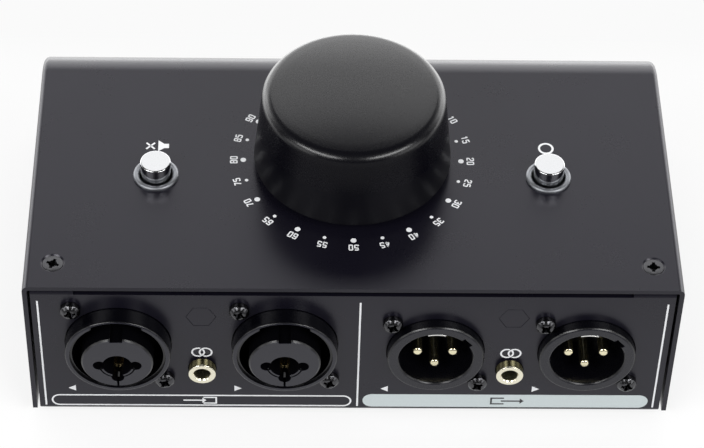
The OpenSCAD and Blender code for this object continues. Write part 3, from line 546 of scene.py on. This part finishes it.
# %% [markdown]
# ## Recipes: Geometry Nodes for what repeats or follows a rule
# A recipe is a Geometry Nodes tree with named sizes. The sizes are real modifier inputs, so a
# reader can open the tree and turn them. The result is taken as a plain mesh at once, because what
# leaves Blender can't carry instances or modifiers. An input of a modifier is set by its socket's
# identifier, since two inputs may share a name.
# %% Recipe
class Recipe(Net):
    """A Geometry Nodes tree with named sizes"""

    def __init__(self, name, **sizes):
        super().__init__(bpy.data.node_groups.new(name, "GeometryNodeTree"))
        face, self.values = self.tree.interface, {}
        for way in ("INPUT", "OUTPUT"):
            face.new_socket("Geometry", in_out=way, socket_type="NodeSocketGeometry")
        for key, value in sizes.items():
            kind = "NodeSocketInt" if isinstance(value, int) else "NodeSocketFloat"
            title = key.capitalize().replace("_", " ")
            socket = face.new_socket(title, in_out="INPUT", socket_type=kind)
            self.values[socket.identifier] = value
        start = self.tree.nodes.new("NodeGroupInput")
        self.points, *fields = (Field(self, start, socket) for socket in start.outputs)
        self.size = SimpleNamespace(**dict(zip(sizes, fields)))

    def step(self, kind, settings=None, **sockets):
        """A geometry node; sockets are written with _ for a space"""
        return self.add("GeometryNode" + kind, settings, {
            key.replace("_", " "): value for key, value in sockets.items()})

    def combined(self, operation, *meshes):
        """A Boolean: a difference is the first mesh less the rest, a union has no first"""
        node = self.step("MeshBoolean", {"operation": operation, "solver": "EXACT"}).node
        for number, mesh in enumerate(meshes, int(operation == "UNION")):
            self.plug(node.inputs["Mesh 2" if number else "Mesh 1"], mesh)
        return Field(self, node, node.outputs["Mesh"])

    def choice(self, kind, values):
        """Picks a value by the index of each point"""
        node = self.step("IndexSwitch", {"data_type": kind}).node
        while len(node.index_switch_items) < len(values):
            node.index_switch_items.new()
        self.plug(node.inputs["Index"], self.step("InputIndex"))
        for number, value in enumerate(values):
            self.plug(node.inputs[1 + number], value)
        return Field(self, node, node.outputs[0])

    def lathe(self, outline, steps):
        """Turns an outline of (radius, height, fillet) about the Z axis, from axis to axis"""
        line = self.step("MeshLine", Count=len(outline))
        corners = [self.vector(radius, 0 - height) for radius, height, _ in outline]
        bent = self.step("SetPosition", Geometry=line, Position=self.choice("VECTOR", corners))
        curve = self.step("MeshToCurve", Mesh=bent)
        rounds = self.choice("FLOAT", [fillet for _, _, fillet in outline])
        profile = self.step("FilletCurve", {"mode": "POLY"}, Curve=curve, Count=8, Radius=rounds,
                            Limit_Radius=True)
        axle = self.step("CurvePrimitiveCircle", Resolution=steps, Radius=0.01 * MM)
        turned = self.step("CurveToMesh", Curve=axle, Profile_Curve=profile)
        return self.step("MergeByDistance", Geometry=turned, Distance=0.025 * MM)

    def finish(self, geometry, material):
        real = self.step("RealizeInstances", Geometry=geometry)
        painted = self.step("SetMaterial", Geometry=real, Material=material)
        out = self.tree.nodes.new("NodeGroupOutput")
        self.tree.links.new(painted.socket, out.inputs[0])

    def make(self, points=()):
        """Runs the tree on the given points and returns a plain mesh"""
        start = bpy.data.meshes.new("start")
        start.from_pydata([tuple(point) for point in points], [], [])
        helper = link_object("helper", start)
        modifier = helper.modifiers.new("recipe", "NODES")
        modifier.node_group = self.tree
        for identifier, value in self.values.items():
            modifier[identifier] = value
        helper.update_tag()
        return baked(helper)


print("recipes ready")

# %% [markdown]
# ## The volume knob
# The knob is a tapered drum with a round rim and a slightly crowned top. It is a solid of
# revolution, so a lathe is the natural tool: an outline from axis to axis, rounded at its corners.
# The pointer is a shallow groove that runs down the side, and a Boolean cuts it with a round bar.
# The crown is a parabola, sampled by a loop.
# %% Knob
CROWN_STEPS = 10
POINTER = math.radians(240)


def knob_recipe():
    """A drum with its bore and its pointer groove, standing on the origin"""
    recipe = Recipe(
        "volume_knob", foot_radius=(knob_high.x - knob_low.x) / 2, top_radius=20.99 * MM,
        foot_height=knob_low.z - cover_high.z, top_height=knob_high.z - cover_high.z,
        crown=KNOB_CROWN, rim_radius=2.8 * MM, wall=2.4 * MM, boss_radius=5.5 * MM,
        boss_foot=7 * MM, bore_radius=3.05 * MM, bore_end=17.1 * MM, roof_lift=0.32 * MM,
        groove_width=1.7 * MM, groove_depth=0.45 * MM, groove_length=10 * MM)
    size = recipe.size
    foot, rim, wall = size.foot_radius, size.top_radius, size.wall
    shoulder = size.top_height - size.crown
    roof = shoulder - wall + size.roof_lift
    outline = [
        (0.0, size.bore_end, 0.0), (size.bore_radius, size.bore_end, 0.0),
        (size.bore_radius, size.boss_foot, 0.0), (size.boss_radius, size.boss_foot, 0.3 * MM),
        (size.boss_radius, roof, 0.5 * MM), (rim - wall, roof, 0.5 * MM),
        (foot - wall, size.foot_height, 0.2 * MM), (foot, size.foot_height, 0.4 * MM),
        (rim, shoulder, size.rim_radius)]
    for step in range(CROWN_STEPS - 2, -1, -1):
        share = step / CROWN_STEPS
        outline.append((rim * share, size.top_height - size.crown * share * share, 0.0))
    drum = recipe.lathe(outline, 180)
    bar = recipe.step("MeshCylinder", {"fill_type": "NGON"}, Vertices=24,
                      Radius=size.groove_width / 2, Depth=size.groove_length)
    lean = (foot - rim) / (shoulder - size.foot_height)
    along = shoulder - size.rim_radius
    skin = foot - (along - size.foot_height) * lean
    out = skin + size.groove_width / 2 - size.groove_depth
    leaning = recipe.step("Transform", Geometry=bar, Translation=recipe.vector(out, z=along),
                          Rotation=recipe.vector(y=0 - recipe.maths("ARCTANGENT", lean)))
    aimed = recipe.step("Transform", Geometry=leaning, Rotation=(0.0, 0.0, POINTER))
    recipe.finish(recipe.combined("DIFFERENCE", drum, aimed), knob_finish)
    return recipe


def settle(node, mesh, angle, place, body="case"):
    """Welds and shades a turned mesh and puts it where the CAD node is"""
    weld(mesh, flat=0)
    smooth(mesh, angle)
    mesh.transform(place)
    place_piece(node + "_turned", mesh, None, body, (node,))


over_dial = Matrix.Translation((dial.x, dial.y, cover_high.z))
knob_mesh = knob_recipe().make()
settle("volume_knob", knob_mesh, 35, over_dial, "knob")
print("knob:", len(knob_mesh.polygons), "faces")

# %% [markdown]
# ## Screws
# Twelve screws show. All have a cross recess, and each was driven until it was tight, so each
# stopped at its own angle. One recipe turns a head on the lathe, cuts the recess and sets a copy on
# every point that it is given, with a random turn from a fixed seed. The points are the middles of
# the CAD screws, which are found as the separate islands of one mesh.
# %% Find the screws
def islands(node):
    """Boxes of the separate solids in a CAD node"""
    work = opened(frame["nodes"][node].data)
    left, boxes = set(work.verts), []
    while left:
        found = [left.pop()]
        for vert in found:
            near = {link.other_vert(vert) for link in vert.link_edges} & left
            left -= near
            found.extend(near)
        places = [vert.co for vert in found]
        boxes.append(tuple(Vector([pick(place[axis] for place in places) for axis in range(3)])
                           for pick in (min, max)))
    work.free()
    return sorted(boxes, key=lambda box: tuple(box[0]))


connector_screws = islands("connector_screws")
cover_screws = islands("cover_screws")
base_screws = islands("base_screws")
print("screws found:", len(connector_screws), len(cover_screws), len(base_screws))

# %% [markdown]
# The recess is two crossed bars and a cone between them. The head's outline is the only thing that
# differs between a pan head, which stands on the panel, and a countersunk head, which lies in it.
# %% Screw recipe
def screw_recipe(name, head_radius, head_height, length, countersunk, recess, seed):
    """A screw on every point, its head towards +Z and each turned at random"""
    recipe = Recipe(name, head_radius=head_radius, head_height=head_height, length=length,
                    shank_radius=1.45 * MM, recess_width=recess, recess_arm=0.72 * MM,
                    recess_depth=1.2 * MM, seed=seed)
    size = recipe.size
    tail, shaft, edge, rise = 0 - size.length, size.shank_radius, size.head_radius, size.head_height
    shank = [(0.0, tail, 0.0), (shaft, tail, 0.3 * MM)]
    if countersunk:
        head = [(shaft, shaft - edge - 0.2 * MM, 0.0), (edge, -0.2 * MM, 0.0),
                (edge, 0.0, 0.1 * MM), (0.0, 0.0, 0.0)]
    else:
        head = [(shaft, 0.0, 0.0), (edge, 0.0, 0.15 * MM), (edge, rise * 0.62, 0.5 * MM),
                (edge * 0.62, rise, 0.9 * MM), (0.0, rise, 0.0)]
    solid = recipe.lathe(shank + head, 64)
    long, short, deep = size.recess_width, size.recess_arm, size.recess_depth
    bars = [recipe.step("MeshCube", Size=recipe.vector(x, y, deep * 2))
            for x, y in ((short, long), (long, short))]
    cone = recipe.step("MeshCone", {"fill_type": "NGON"}, Vertices=16,
                       Radius_Top=long * 0.36, Radius_Bottom=long * 0.1, Depth=deep * 1.4)
    sunk = recipe.step("Transform", Geometry=cone, Translation=recipe.vector(z=0 - deep * 1.3))
    raised = recipe.step("Transform", Geometry=recipe.combined("UNION", *bars, sunk),
                         Translation=recipe.vector(z=0.0 if countersunk else rise))
    spin = recipe.add("FunctionNodeRandomValue", {"data_type": "FLOAT"}, {
        "Min": 0.0, "Max": math.tau, "Seed": size.seed})
    spread = recipe.step("InstanceOnPoints", Points=recipe.points, Rotation=recipe.vector(z=spin),
                         Instance=recipe.combined("DIFFERENCE", solid, raised))
    recipe.finish(spread, black_zinc)
    return recipe


def set_screws(node, recipe, face, boxes):
    """Makes one piece of all the screws of a CAD node; the face gives their seat and direction"""
    into_face = face.inverted()
    points = [into_face @ ((low + high) / 2) for low, high in boxes]
    settle(node, recipe.make([(point.x, point.y, 0) for point in points]), 35, face)


low, high = connector_screws[0]
pan = screw_recipe("pan_head_screw", (high.x - low.x) / 2 + 0.1 * MM, high.y - tray_high.y,
                   tray_high.y - low.y, False, 2.7 * MM, 4)
set_screws("connector_screws", pan, rear, connector_screws)
low, high = cover_screws[0]
flat_head = screw_recipe("countersunk_screw", (high.x - low.x) / 2, 1.2 * MM, high.z - low.z,
                         True, 2.9 * MM, 7)
set_screws("cover_screws", flat_head, Matrix.Translation((0, 0, high.z)), cover_screws)
from_below = Matrix.Translation((0, 0, base_screws[0][0].z)) @ Matrix.Rotation(math.pi, 4, "X")
set_screws("base_screws", flat_head, from_below, base_screws)
print("screws set:", sum(map(len, (connector_screws, cover_screws, base_screws))))

# %% [markdown]
# ## Threaded barrels
# The two small jacks end in a plated barrel with a fine outer thread. A true helix leans by little
# more than a degree here, which nobody can see, so the thread is a stack of rings: an outline that
# zigzags between crest and root, turned on the same lathe as the knob.
# %% Barrels
TURNS = 9


def barrel_recipe(radius, front, back):
    """A threaded tube between two heights along Z"""
    recipe = Recipe("small_jack_barrel", radius=radius, bore=1.85 * MM, front=front, back=back,
                    thread_depth=0.22 * MM, pitch=0.45 * MM, face_width=0.35 * MM)
    size = recipe.size
    start = size.front - size.face_width
    outline = [(size.bore, size.back, 0.0), (size.radius, size.back, 0.0)]
    for step in range(2 * TURNS, -1, -1):
        crest = size.radius - size.thread_depth * (step % 2)
        outline.append((crest, start - size.pitch * (step / 2), 0.0))
    outline += [(size.radius, size.front, 0.2 * MM), (size.bore + 0.25 * MM, size.front, 0.0),
                (size.bore, size.front - 0.25 * MM, 0.0), (size.bore, size.back, 0.0)]
    recipe.finish(recipe.lathe(outline, 96), warm_nickel)
    return recipe


into_rear = rear.inverted()
SKIN = 0.3 * MM
for node in ("mini_input_barrel", "mini_output_barrel"):
    low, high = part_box(node)
    radius = (high.x - low.x) / 2
    front, back = (into_rear @ high).z, (into_rear @ low).z
    seat = into_rear @ middle(node)
    mesh = barrel_recipe(radius, front, back).make()
    # The threaded side gets the near-black metal as painted shade; only the front face keeps the
    # bright nickel.
    mesh.materials.append(thread_brown)
    for face in mesh.polygons:
        outer = face.center.xy.length > radius - SKIN
        face.material_index = int(outer and face.center.z < front - SKIN)
    settle(node, mesh, 25, rear @ Matrix.Translation((seat.x, seat.y, 0)))
    print(node, len(mesh.polygons), "faces")

# %% [markdown]
# ## The dial's dots
# The scale runs from 0 to 100 over 300 degrees. A dot stands at every five, and at the tens it is
# larger. The rule is short enough for a recipe: each point's index gives its angle, and whether the
# index is even gives its size.
# %% Dots
DOTS, SWEEP = 21, 300.0
FILM = 0.03 * MM


def dot_recipe():
    """The scale's dots around the origin, the tens larger"""
    recipe = Recipe("dial_dots", dots=DOTS, ring_radius=25.5 * MM, ten_dot=1.34 * MM,
                    five_dot=0.84 * MM)
    size = recipe.size
    index = recipe.step("InputIndex")
    angle = index * math.radians(SWEEP / (DOTS - 1)) - math.radians(SWEEP / 2)
    ring_place = recipe.vector(recipe.maths("SINE", angle) * size.ring_radius,
                               recipe.maths("COSINE", angle) * size.ring_radius)
    is_five = recipe.maths("MODULO", index, 2)
    width = size.ten_dot - is_five * (size.ten_dot - size.five_dot)
    line = recipe.step("MeshLine", Count=size.dots)
    points = recipe.step("SetPosition", Geometry=line, Position=ring_place)
    dot = recipe.step("MeshCylinder", {"fill_type": "NGON"}, Vertices=28, Radius=0.5, Depth=FILM)
    recipe.finish(recipe.step("InstanceOnPoints", Points=points, Instance=dot,
                              Scale=recipe.vector(width, width, 1.0)), white_ink)
    return recipe


dots_mesh = dot_recipe().make()
dots_mesh.transform(over_dial @ Matrix.Translation((0, 0, FILM / 3)))
place_piece("dial_dots", dots_mesh, None, "case")
print("dots:", DOTS)

# %% [markdown]
# ## The dial's numbers
# Plain numbers stand outside the dots, each with its top turned outwards. A font would bring its
# own character, and at this size all that counts is an even stroke. So a digit is drawn as a pen
# draws it: a line through a few corners in a box of 1 by 2, softened and widened to a ribbon.
# %% Pen strokes
PEN = {
    "0": [[(0.5, 0), (0, 0), (0, 2), (1, 2), (1, 0), (0.5, 0)]],
    "1": [[(0.1, 1.55), (0.6, 2), (0.6, 0)]],
    "2": [[(0, 1.5), (0, 2), (1, 2), (1, 1.2), (0, 0.6), (0, 0), (1, 0)]],
    "3": [[(0, 1.6), (0, 2), (1, 2), (1, 0), (0, 0), (0, 0.4)], [(0.35, 1.05), (0.95, 1.05)]],
    "4": [[(0.75, 0), (0.75, 2)], [(0.75, 2), (0, 0.5), (1.1, 0.5)]],
    "5": [[(1, 2), (0, 2), (0, 1.15), (1, 1.15), (1, 0), (0, 0), (0, 0.4)]],
    "6": [[(1, 1.65), (1, 2), (0, 2), (0, 0), (1, 0), (1, 1.15), (0, 1.15)]],
    "7": [[(0, 2), (1, 2), (0.35, 0)]],
    "8": [[(0.5, 0), (0, 0), (0, 2), (1, 2), (1, 0), (0.5, 0)], [(0.05, 1.05), (0.95, 1.05)]],
    "9": [[(0, 0.35), (0, 0), (1, 0), (1, 2), (0, 2), (0, 0.85), (1, 0.85)]],
}


def soften(points, radius, steps=4):
    """Rounds the inner corners of a line"""
    out = [points[0]]
    for corners in zip(points, points[1:], points[2:]):
        before, corner, after = map(Vector, corners)
        start, end = (corner + (other - corner).normalized()
                      * min(radius, (other - corner).length / 2) for other in (before, after))
        for step in range(steps + 1):
            share = step / steps
            out.append(tuple(start.lerp(corner, share).lerp(corner.lerp(end, share), share)))
    return out + [points[-1]]


def edges_of(points, stroke):
    """The two edges of a line drawn with a broad pen"""
    left, right = [], []
    for corners in zip(points[:1] + points, points, points[1:] + points[-1:]):
        back, point, ahead = map(Vector, corners)
        away = (ahead - back).normalized().orthogonal() * stroke / 2
        left.append(point + away)
        right.append(point - away)
    return left, right


def ribbon(points, stroke):
    """Flat strip of faces along a line"""
    left, right = edges_of(points, stroke)
    count = len(left)
    strip = bpy.data.meshes.new("ribbon")
    strip.from_pydata([(x * MM, y * MM, 0) for x, y in left + right], [], [
        (step, step + 1, count + step + 1, count + step) for step in range(count - 1)])
    return strip


def written(text, height, stroke, gap=0.22):
    """Strips of a number, centred, in millimetres"""
    tall = (height - stroke) / 2
    step = tall + stroke + gap
    strips = []
    for place, digit in enumerate(text):
        shift = (place - (len(text) - 1) / 2) * step - tall / 2
        for line in PEN[digit]:
            scaled = [(shift + x * tall, (y - 1) * tall) for x, y in line]
            strips.append(ribbon(soften(scaled, 0.15), stroke))
    return strips


print("pen strokes for", len(PEN), "digits")

# %% [markdown]
# ## Printed shapes
# The lines and signs are closed outlines. They are filled, given the thickness of a film and laid
# on a face, as the numbers are. A flat curve fills its own holes, so a ring is two circles.
# %% Films
def thick_film(mesh):
    """Turns a flat mesh into a thin closed film that lies on its plane"""
    work = opened(mesh)
    made = bmesh.ops.extrude_face_region(work, geom=list(work.faces))
    tops = [item for item in made["geom"] if isinstance(item, bmesh.types.BMVert)]
    bmesh.ops.translate(work, verts=tops, vec=(0, 0, FILM))
    write_back(work, mesh)


def join_meshes(name, meshes):
    """One mesh of several"""
    work = bmesh.new()
    for mesh in meshes:
        work.from_mesh(mesh)
        bpy.data.meshes.remove(mesh)
    joined = bpy.data.meshes.new(name)
    work.to_mesh(joined)
    work.free()
    return joined


def film_of(outlines):
    """A printed shape from its closed outlines, in millimetres"""
    curve = bpy.data.curves.new("outline", "CURVE")
    curve.dimensions = "2D"
    curve.fill_mode = "BOTH"
    for outline in outlines:
        spline = curve.splines.new("POLY")
        spline.points.add(len(outline) - 1)
        for point, (x, y) in zip(spline.points, outline):
            point.co = (x * MM, y * MM, 0, 1)
        spline.use_cyclic_u = True
    mesh = baked(link_object("outline", curve))
    bpy.data.curves.remove(curve)
    thick_film(mesh)
    return mesh


def print_on(name, face, shapes, material):
    """Prints shapes, each a list of closed outlines in millimetres, on a face"""
    joined = join_meshes(name, [film_of(outlines) for outlines in shapes])
    joined.transform(face @ Matrix.Translation((0, 0, -FILM / 6)))
    place_piece(name, joined, material, "case")


NUMBER_RING, NUMBER_HEIGHT, PEN_WIDTH = 27.7 * MM, 1.8, 0.3
numbers = []
for value in range(0, 101, 5):
    around_dial = Matrix.Rotation(-math.radians(SWEEP * (value / 100 - 0.5)), 4, "Z")
    number = join_meshes("number", written(str(value), NUMBER_HEIGHT, PEN_WIDTH))
    thick_film(number)
    number.transform(around_dial @ Matrix.Translation((0, NUMBER_RING, 0)))
    numbers.append(number)
numbers_mesh = join_meshes("dial_numbers", numbers)
numbers_mesh.transform(over_dial @ Matrix.Translation((0, 0, -FILM / 6)))
place_piece("dial_numbers", numbers_mesh, white_ink, "case")
print("numbers: 0 to 100 by 5")

# %% [markdown]
# ## Lines and signs
# The rear panel is divided by white lines, and a capsule outline and a filled bar name the two
# groups. All of them, and the signs, are flat outlines with arcs where they are round. Each sign
# says what it does in a picture: an arrow that goes in, an arrow that comes out, two linked rings
# for a stereo pair, triangles for the sides, a loudspeaker with a cross and a single circle.
# %% Outlines
def arc(x, y, radius, start, end, steps):
    """Points on an arc, angles in degrees"""
    angles = [math.radians(start + (end - start) * step / steps) for step in range(steps + 1)]
    return [(x + radius * math.cos(angle), y + radius * math.sin(angle)) for angle in angles]


def rectangle(x0, x1, y0, y1):
    """Corners of an upright rectangle"""
    return [(x0, y0), (x1, y0), (x1, y1), (x0, y1)]


def rounded(x0, x1, y0, y1, radius):
    """Rectangle with round corners"""
    middles = rectangle(x1 - radius, x0 + radius, y1 - radius, y0 + radius)
    return [point for number, (x, y) in enumerate(middles)
            for point in arc(x, y, radius, 90 * number, 90 * number + 90, 8)]


def band(x, y, radius, stroke, start, end):
    """Bent stripe along an arc"""
    return (arc(x, y, radius + stroke / 2, start, end, 24)
            + arc(x, y, radius - stroke / 2, end, start, 24))


def circle_line(x, y, radius, stroke):
    """A ring, as its outer and its inner circle"""
    return [arc(x, y, radius + side * stroke / 2, 0, 350, 35) for side in (1, -1)]


print("outline helpers ready")

# %% [markdown]
# Each sign is drawn around its own middle. The linked rings are arcs with gaps where one passes
# under the other, which is how a flat sign shows depth.
# %% Signs
STROKE = 0.42


def arrow(x, y, length, height):
    """Arrow that points to the right"""
    back, tip, low, high = x - length / 2, x + length / 2, y - STROKE / 2, y + STROKE / 2
    neck = tip - height / 2
    return [(back, low), (neck, low), (neck, y - height / 2), (tip, y),
            (neck, y + height / 2), (neck, high), (back, high)]


def bracket(x, y, side, height, depth):
    """Open box whose mouth looks to the left (side = -1) or to the right (side = 1)"""
    near, far, inner = (x + side * shift for shift in (-depth / 2, depth / 2, STROKE - depth / 2))
    low, high = y - height / 2, y + height / 2
    return [(far, high), (near, high), (near, low), (far, low), (far, low + STROKE),
            (inner, low + STROKE), (inner, high - STROKE), (far, high - STROKE)]


def passage(x, y, way):
    """An arrow that goes into an open box (way = 1) or comes out of it (way = -1)"""
    return [[arrow(x - way * 1.6, y, 5.4, 1.9)], [bracket(x + way * 2.0, y, -way, 2.5, 3.2)]]


def linked_rings(x, y, radius=1.4):
    """Two rings, each open where the other passes over it"""
    shift = radius * 0.62
    return [[band(x - shift, y, radius, STROKE, 68, 405)],
            [band(x + shift, y, radius, STROKE, -112, 225)]]


def side_triangle(x, y, side):
    """Triangle whose tip looks to the left (side = -1) or to the right (side = 1)"""
    back = x - side * 0.7
    return [[(x + side, y), (back, y + 1), (back, y - 1)]]


def struck_speaker(x, y):
    """Loudspeaker with a cross beside it"""
    horn = [(x - 2.7, y - 0.7), (x - 1.6, y - 0.7), (x - 0.2, y - 1.8), (x - 0.2, y + 1.8),
            (x - 1.6, y + 0.7), (x - 2.7, y + 0.7)]
    cross = [edges_of([(x + 0.6, y - flip), (x + 2.6, y + flip)], STROKE) for flip in (1, -1)]
    return [[horn]] + [[left + right[::-1]] for left, right in cross]


print("signs ready")

# %% [markdown]
# On the rear panel everything lines up with the connectors. The linked rings take their places from
# the jacks that they name, the top's signs from their buttons; the lines, the two long frames, the
# arrows and the side triangles have places of their own.
# %% Print the rear and the top
def rear_x(node):
    """Place of a piece along the rear panel, in millimetres to the right of the middle"""
    return -middle(node).x / MM


# All in millimetres from the panel's lower middle
LINE = 0.42
DIVIDERS, DIVIDER_ENDS = (-71.3, 1.55, 71.2), (1.8, 38.4)
FRAME = x0, x1, y0, y1, corner = -70, 0.2, 1.67, 5.65, 1.99
BAR = 2.8, 69.9, 1.64, 6.18, 2.2
SIDE_MARKS = (-64.8, 8.0, -1), (-26.5, 8.1, 1), (7.9, 8.2, -1), (43.0, 8.3, 1)
lines = [[rectangle(x - LINE / 2, x + LINE / 2, *DIVIDER_ENDS)] for x in DIVIDERS]
capsule = [[rounded(*FRAME),
            rounded(x0 + LINE, x1 - LINE, y0 + LINE, y1 - LINE, corner - LINE)]]
rear_signs = passage(-34.9, 3.66, 1)
rear_signs += [side_triangle(*mark) for mark in SIDE_MARKS]
rear_signs += linked_rings(rear_x("mini_input_barrel"), 21.0)
rear_signs += linked_rings(rear_x("mini_output_barrel"), 21.1)
print_on("rear_lines", rear, lines + capsule, white_ink)
print_on("rear_signs", rear, rear_signs, white_ink)
print_on("output_bar", rear, [[rounded(*BAR)]], grey_ink)
print_on("output_sign", rear @ Matrix.Translation((0, 0, FILM)), passage(36.4, 3.9, -1), dark_ink)

SIGN_GAP = 9.6
speaker_place, circle_place = middle("mute_cap") / MM, middle("mono_cap") / MM
sign_y = speaker_place.y - SIGN_GAP
top_signs = struck_speaker(speaker_place.x, sign_y)
top_signs += [circle_line(circle_place.x, sign_y, 1.6, STROKE * 1.2)]
print_on("top_signs", top, top_signs, white_ink)
print("printed", len(lines + capsule + rear_signs + top_signs), "outlines")

# %% [markdown]
# ## Floor, lamps and surroundings
# A black box on white is a picture of its surroundings: what it mirrors gives it its form. The
# floor is white paper. It takes shadows as paper does, and for the camera and for mirrors it also
# shines a little, so that it reads as white without a stronger lamp. The surroundings do the same,
# and the camera sees the paper run out into their white, so no horizon shows.
# %% Floor
WHITE, MIRRORED_FLOOR = 0.956, 0.62


def white_paper(albedo, glow, beyond):
    """Paper that shines more in mirrors behind the box, and for the camera runs out into WHITE"""
    material = bpy.data.materials.new("white_paper")
    material.use_nodes = True
    paper = Net(material.node_tree)
    paper.tree.nodes.clear()
    matte = paper.add("ShaderNodeBsdfDiffuse", None, {"Color": (albedo, albedo, albedo, 1)})
    path = paper.add("ShaderNodeLightPath")
    spot = paper.parts(paper.add("ShaderNodeTexCoord")["Object"])
    behind = paper.fade(spot["Y"], -0.06, -0.3)
    before = paper.fade(spot["Y"], 0.105, 0.085)
    mirrored = path["Is Glossy Ray"] * (behind * beyond + before * MIRRORED_FLOOR)
    light = paper.add("ShaderNodeEmission", None, {
        "Strength": path["Is Camera Ray"] * glow + mirrored})
    both = paper.add("ShaderNodeAddShader", None, {0: matte, 1: light})
    outside = paper.maths("MAXIMUM", paper.maths("ABSOLUTE", spot["X"]) - cad_box[1][0],
                          paper.maths("ABSOLUTE", spot["Y"]) - cad_box[1][1])
    far = paper.fade(outside, 4 * MM, 34 * MM)
    even = paper.add("ShaderNodeEmission", None, {"Strength": WHITE})
    seen = paper.add("ShaderNodeMixShader", None, {
        0: path["Is Camera Ray"] * far, 1: both, 2: even})
    paper.add("ShaderNodeOutputMaterial", None, {"Surface": seen})
    return material


FLOOR_SIZE = 12.0
floor_mesh = bpy.data.meshes.new("floor")
half = FLOOR_SIZE / 2
floor_corners = [(x, y, 0) for x, y in rectangle(-half, half, -half, half)]
floor_mesh.from_pydata(floor_corners, [], [(0, 1, 2, 3)])
floor_mesh.materials.append(white_paper(0.25, 0.73, 3.2))
floor = link_object("floor", floor_mesh)
print("floor of", FLOOR_SIZE, "m")

# %% [markdown]
# Eight soft lamps stand around the box. The wide one low behind it and the one above that are what
# the top and the crown mirror, so they draw the slow fall from light to dark across them. The pair
# beside the camera leaves the two lights on the knob's front rim, and the low ones at the sides
# edge the knob and the box. White paper is hung behind the box up to the height of a person, and
# the room behind the camera is dark: mirrors show both, the camera sees white.
# %% Lamps and world
TARGET = Vector((0, 0, 0.04))


def soft_lamp(name, azimuth, elevation, distance, width, height, radiance):
    """A rectangle of light that faces the target; azimuth, from the connector side, and elevation
    are in degrees, radiance is how bright its face is"""
    data = bpy.data.lights.new("lamp_" + name, "AREA")
    data.shape = "RECTANGLE"
    data.size, data.size_y = width, height
    data.energy = radiance * math.pi * width * height
    lamp = link_object("lamp_" + name, data)
    turned, raised = math.radians(azimuth), math.radians(elevation)
    lamp.location = TARGET + distance * Vector((
        math.cos(raised) * math.sin(turned), math.cos(raised) * math.cos(turned), math.sin(raised)))
    lamp.rotation_euler = (TARGET - lamp.location).to_track_quat("-Z", "Y").to_euler()


# name, azimuth, elevation, distance, width, height, radiance
lamps = [("low_behind", 180, 19, 1.15, 2.8, 0.7, 1.85),
         ("high_behind", 180, 48, 1.2, 0.9, 0.34, 1.6)]
for row, azimuth, *rest in (("", 44, 37, 1.2, 0.9, 0.24, 11.0),
                            ("back_", 125, 14, 1.2, 0.5, 0.5, 2.0),
                            ("low_", 62, 10, 1.3, 0.8, 0.4, 2.0)):
    lamps += [(row + "left", azimuth, *rest), (row + "right", -azimuth, *rest)]
for lamp in lamps:
    soft_lamp(*lamp)

world = bpy.data.worlds.new("surroundings")
bpy.context.scene.world = world
world.use_nodes = True
sky = Net(world.node_tree)
sky.tree.nodes.clear()
FILL, DARK_ROOM = 0.35, 0.05
path = sky.add("ShaderNodeLightPath")
direction = sky.parts(sky.add("ShaderNodeTexCoord")["Generated"])
backdrop = sky.fade(direction["Y"], -0.05, -0.4) * sky.fade(direction["Z"], 0.66, 0.5)
clear = sky.maths("MAXIMUM", path["Is Camera Ray"], path["Is Transmission Ray"])
mirrored = DARK_ROOM + backdrop * (WHITE - DARK_ROOM)
level = FILL + clear * (WHITE - FILL) + path["Is Glossy Ray"] * (mirrored - FILL)
sky.add("ShaderNodeOutputWorld", None, {"Surface": sky.add("ShaderNodeBackground", None, {
    "Color": (1, 1, 1, 1), "Strength": level})})
bpy.context.scene.view_settings.view_transform = "Standard"
print(len(lamps), "lamps, fill", FILL)
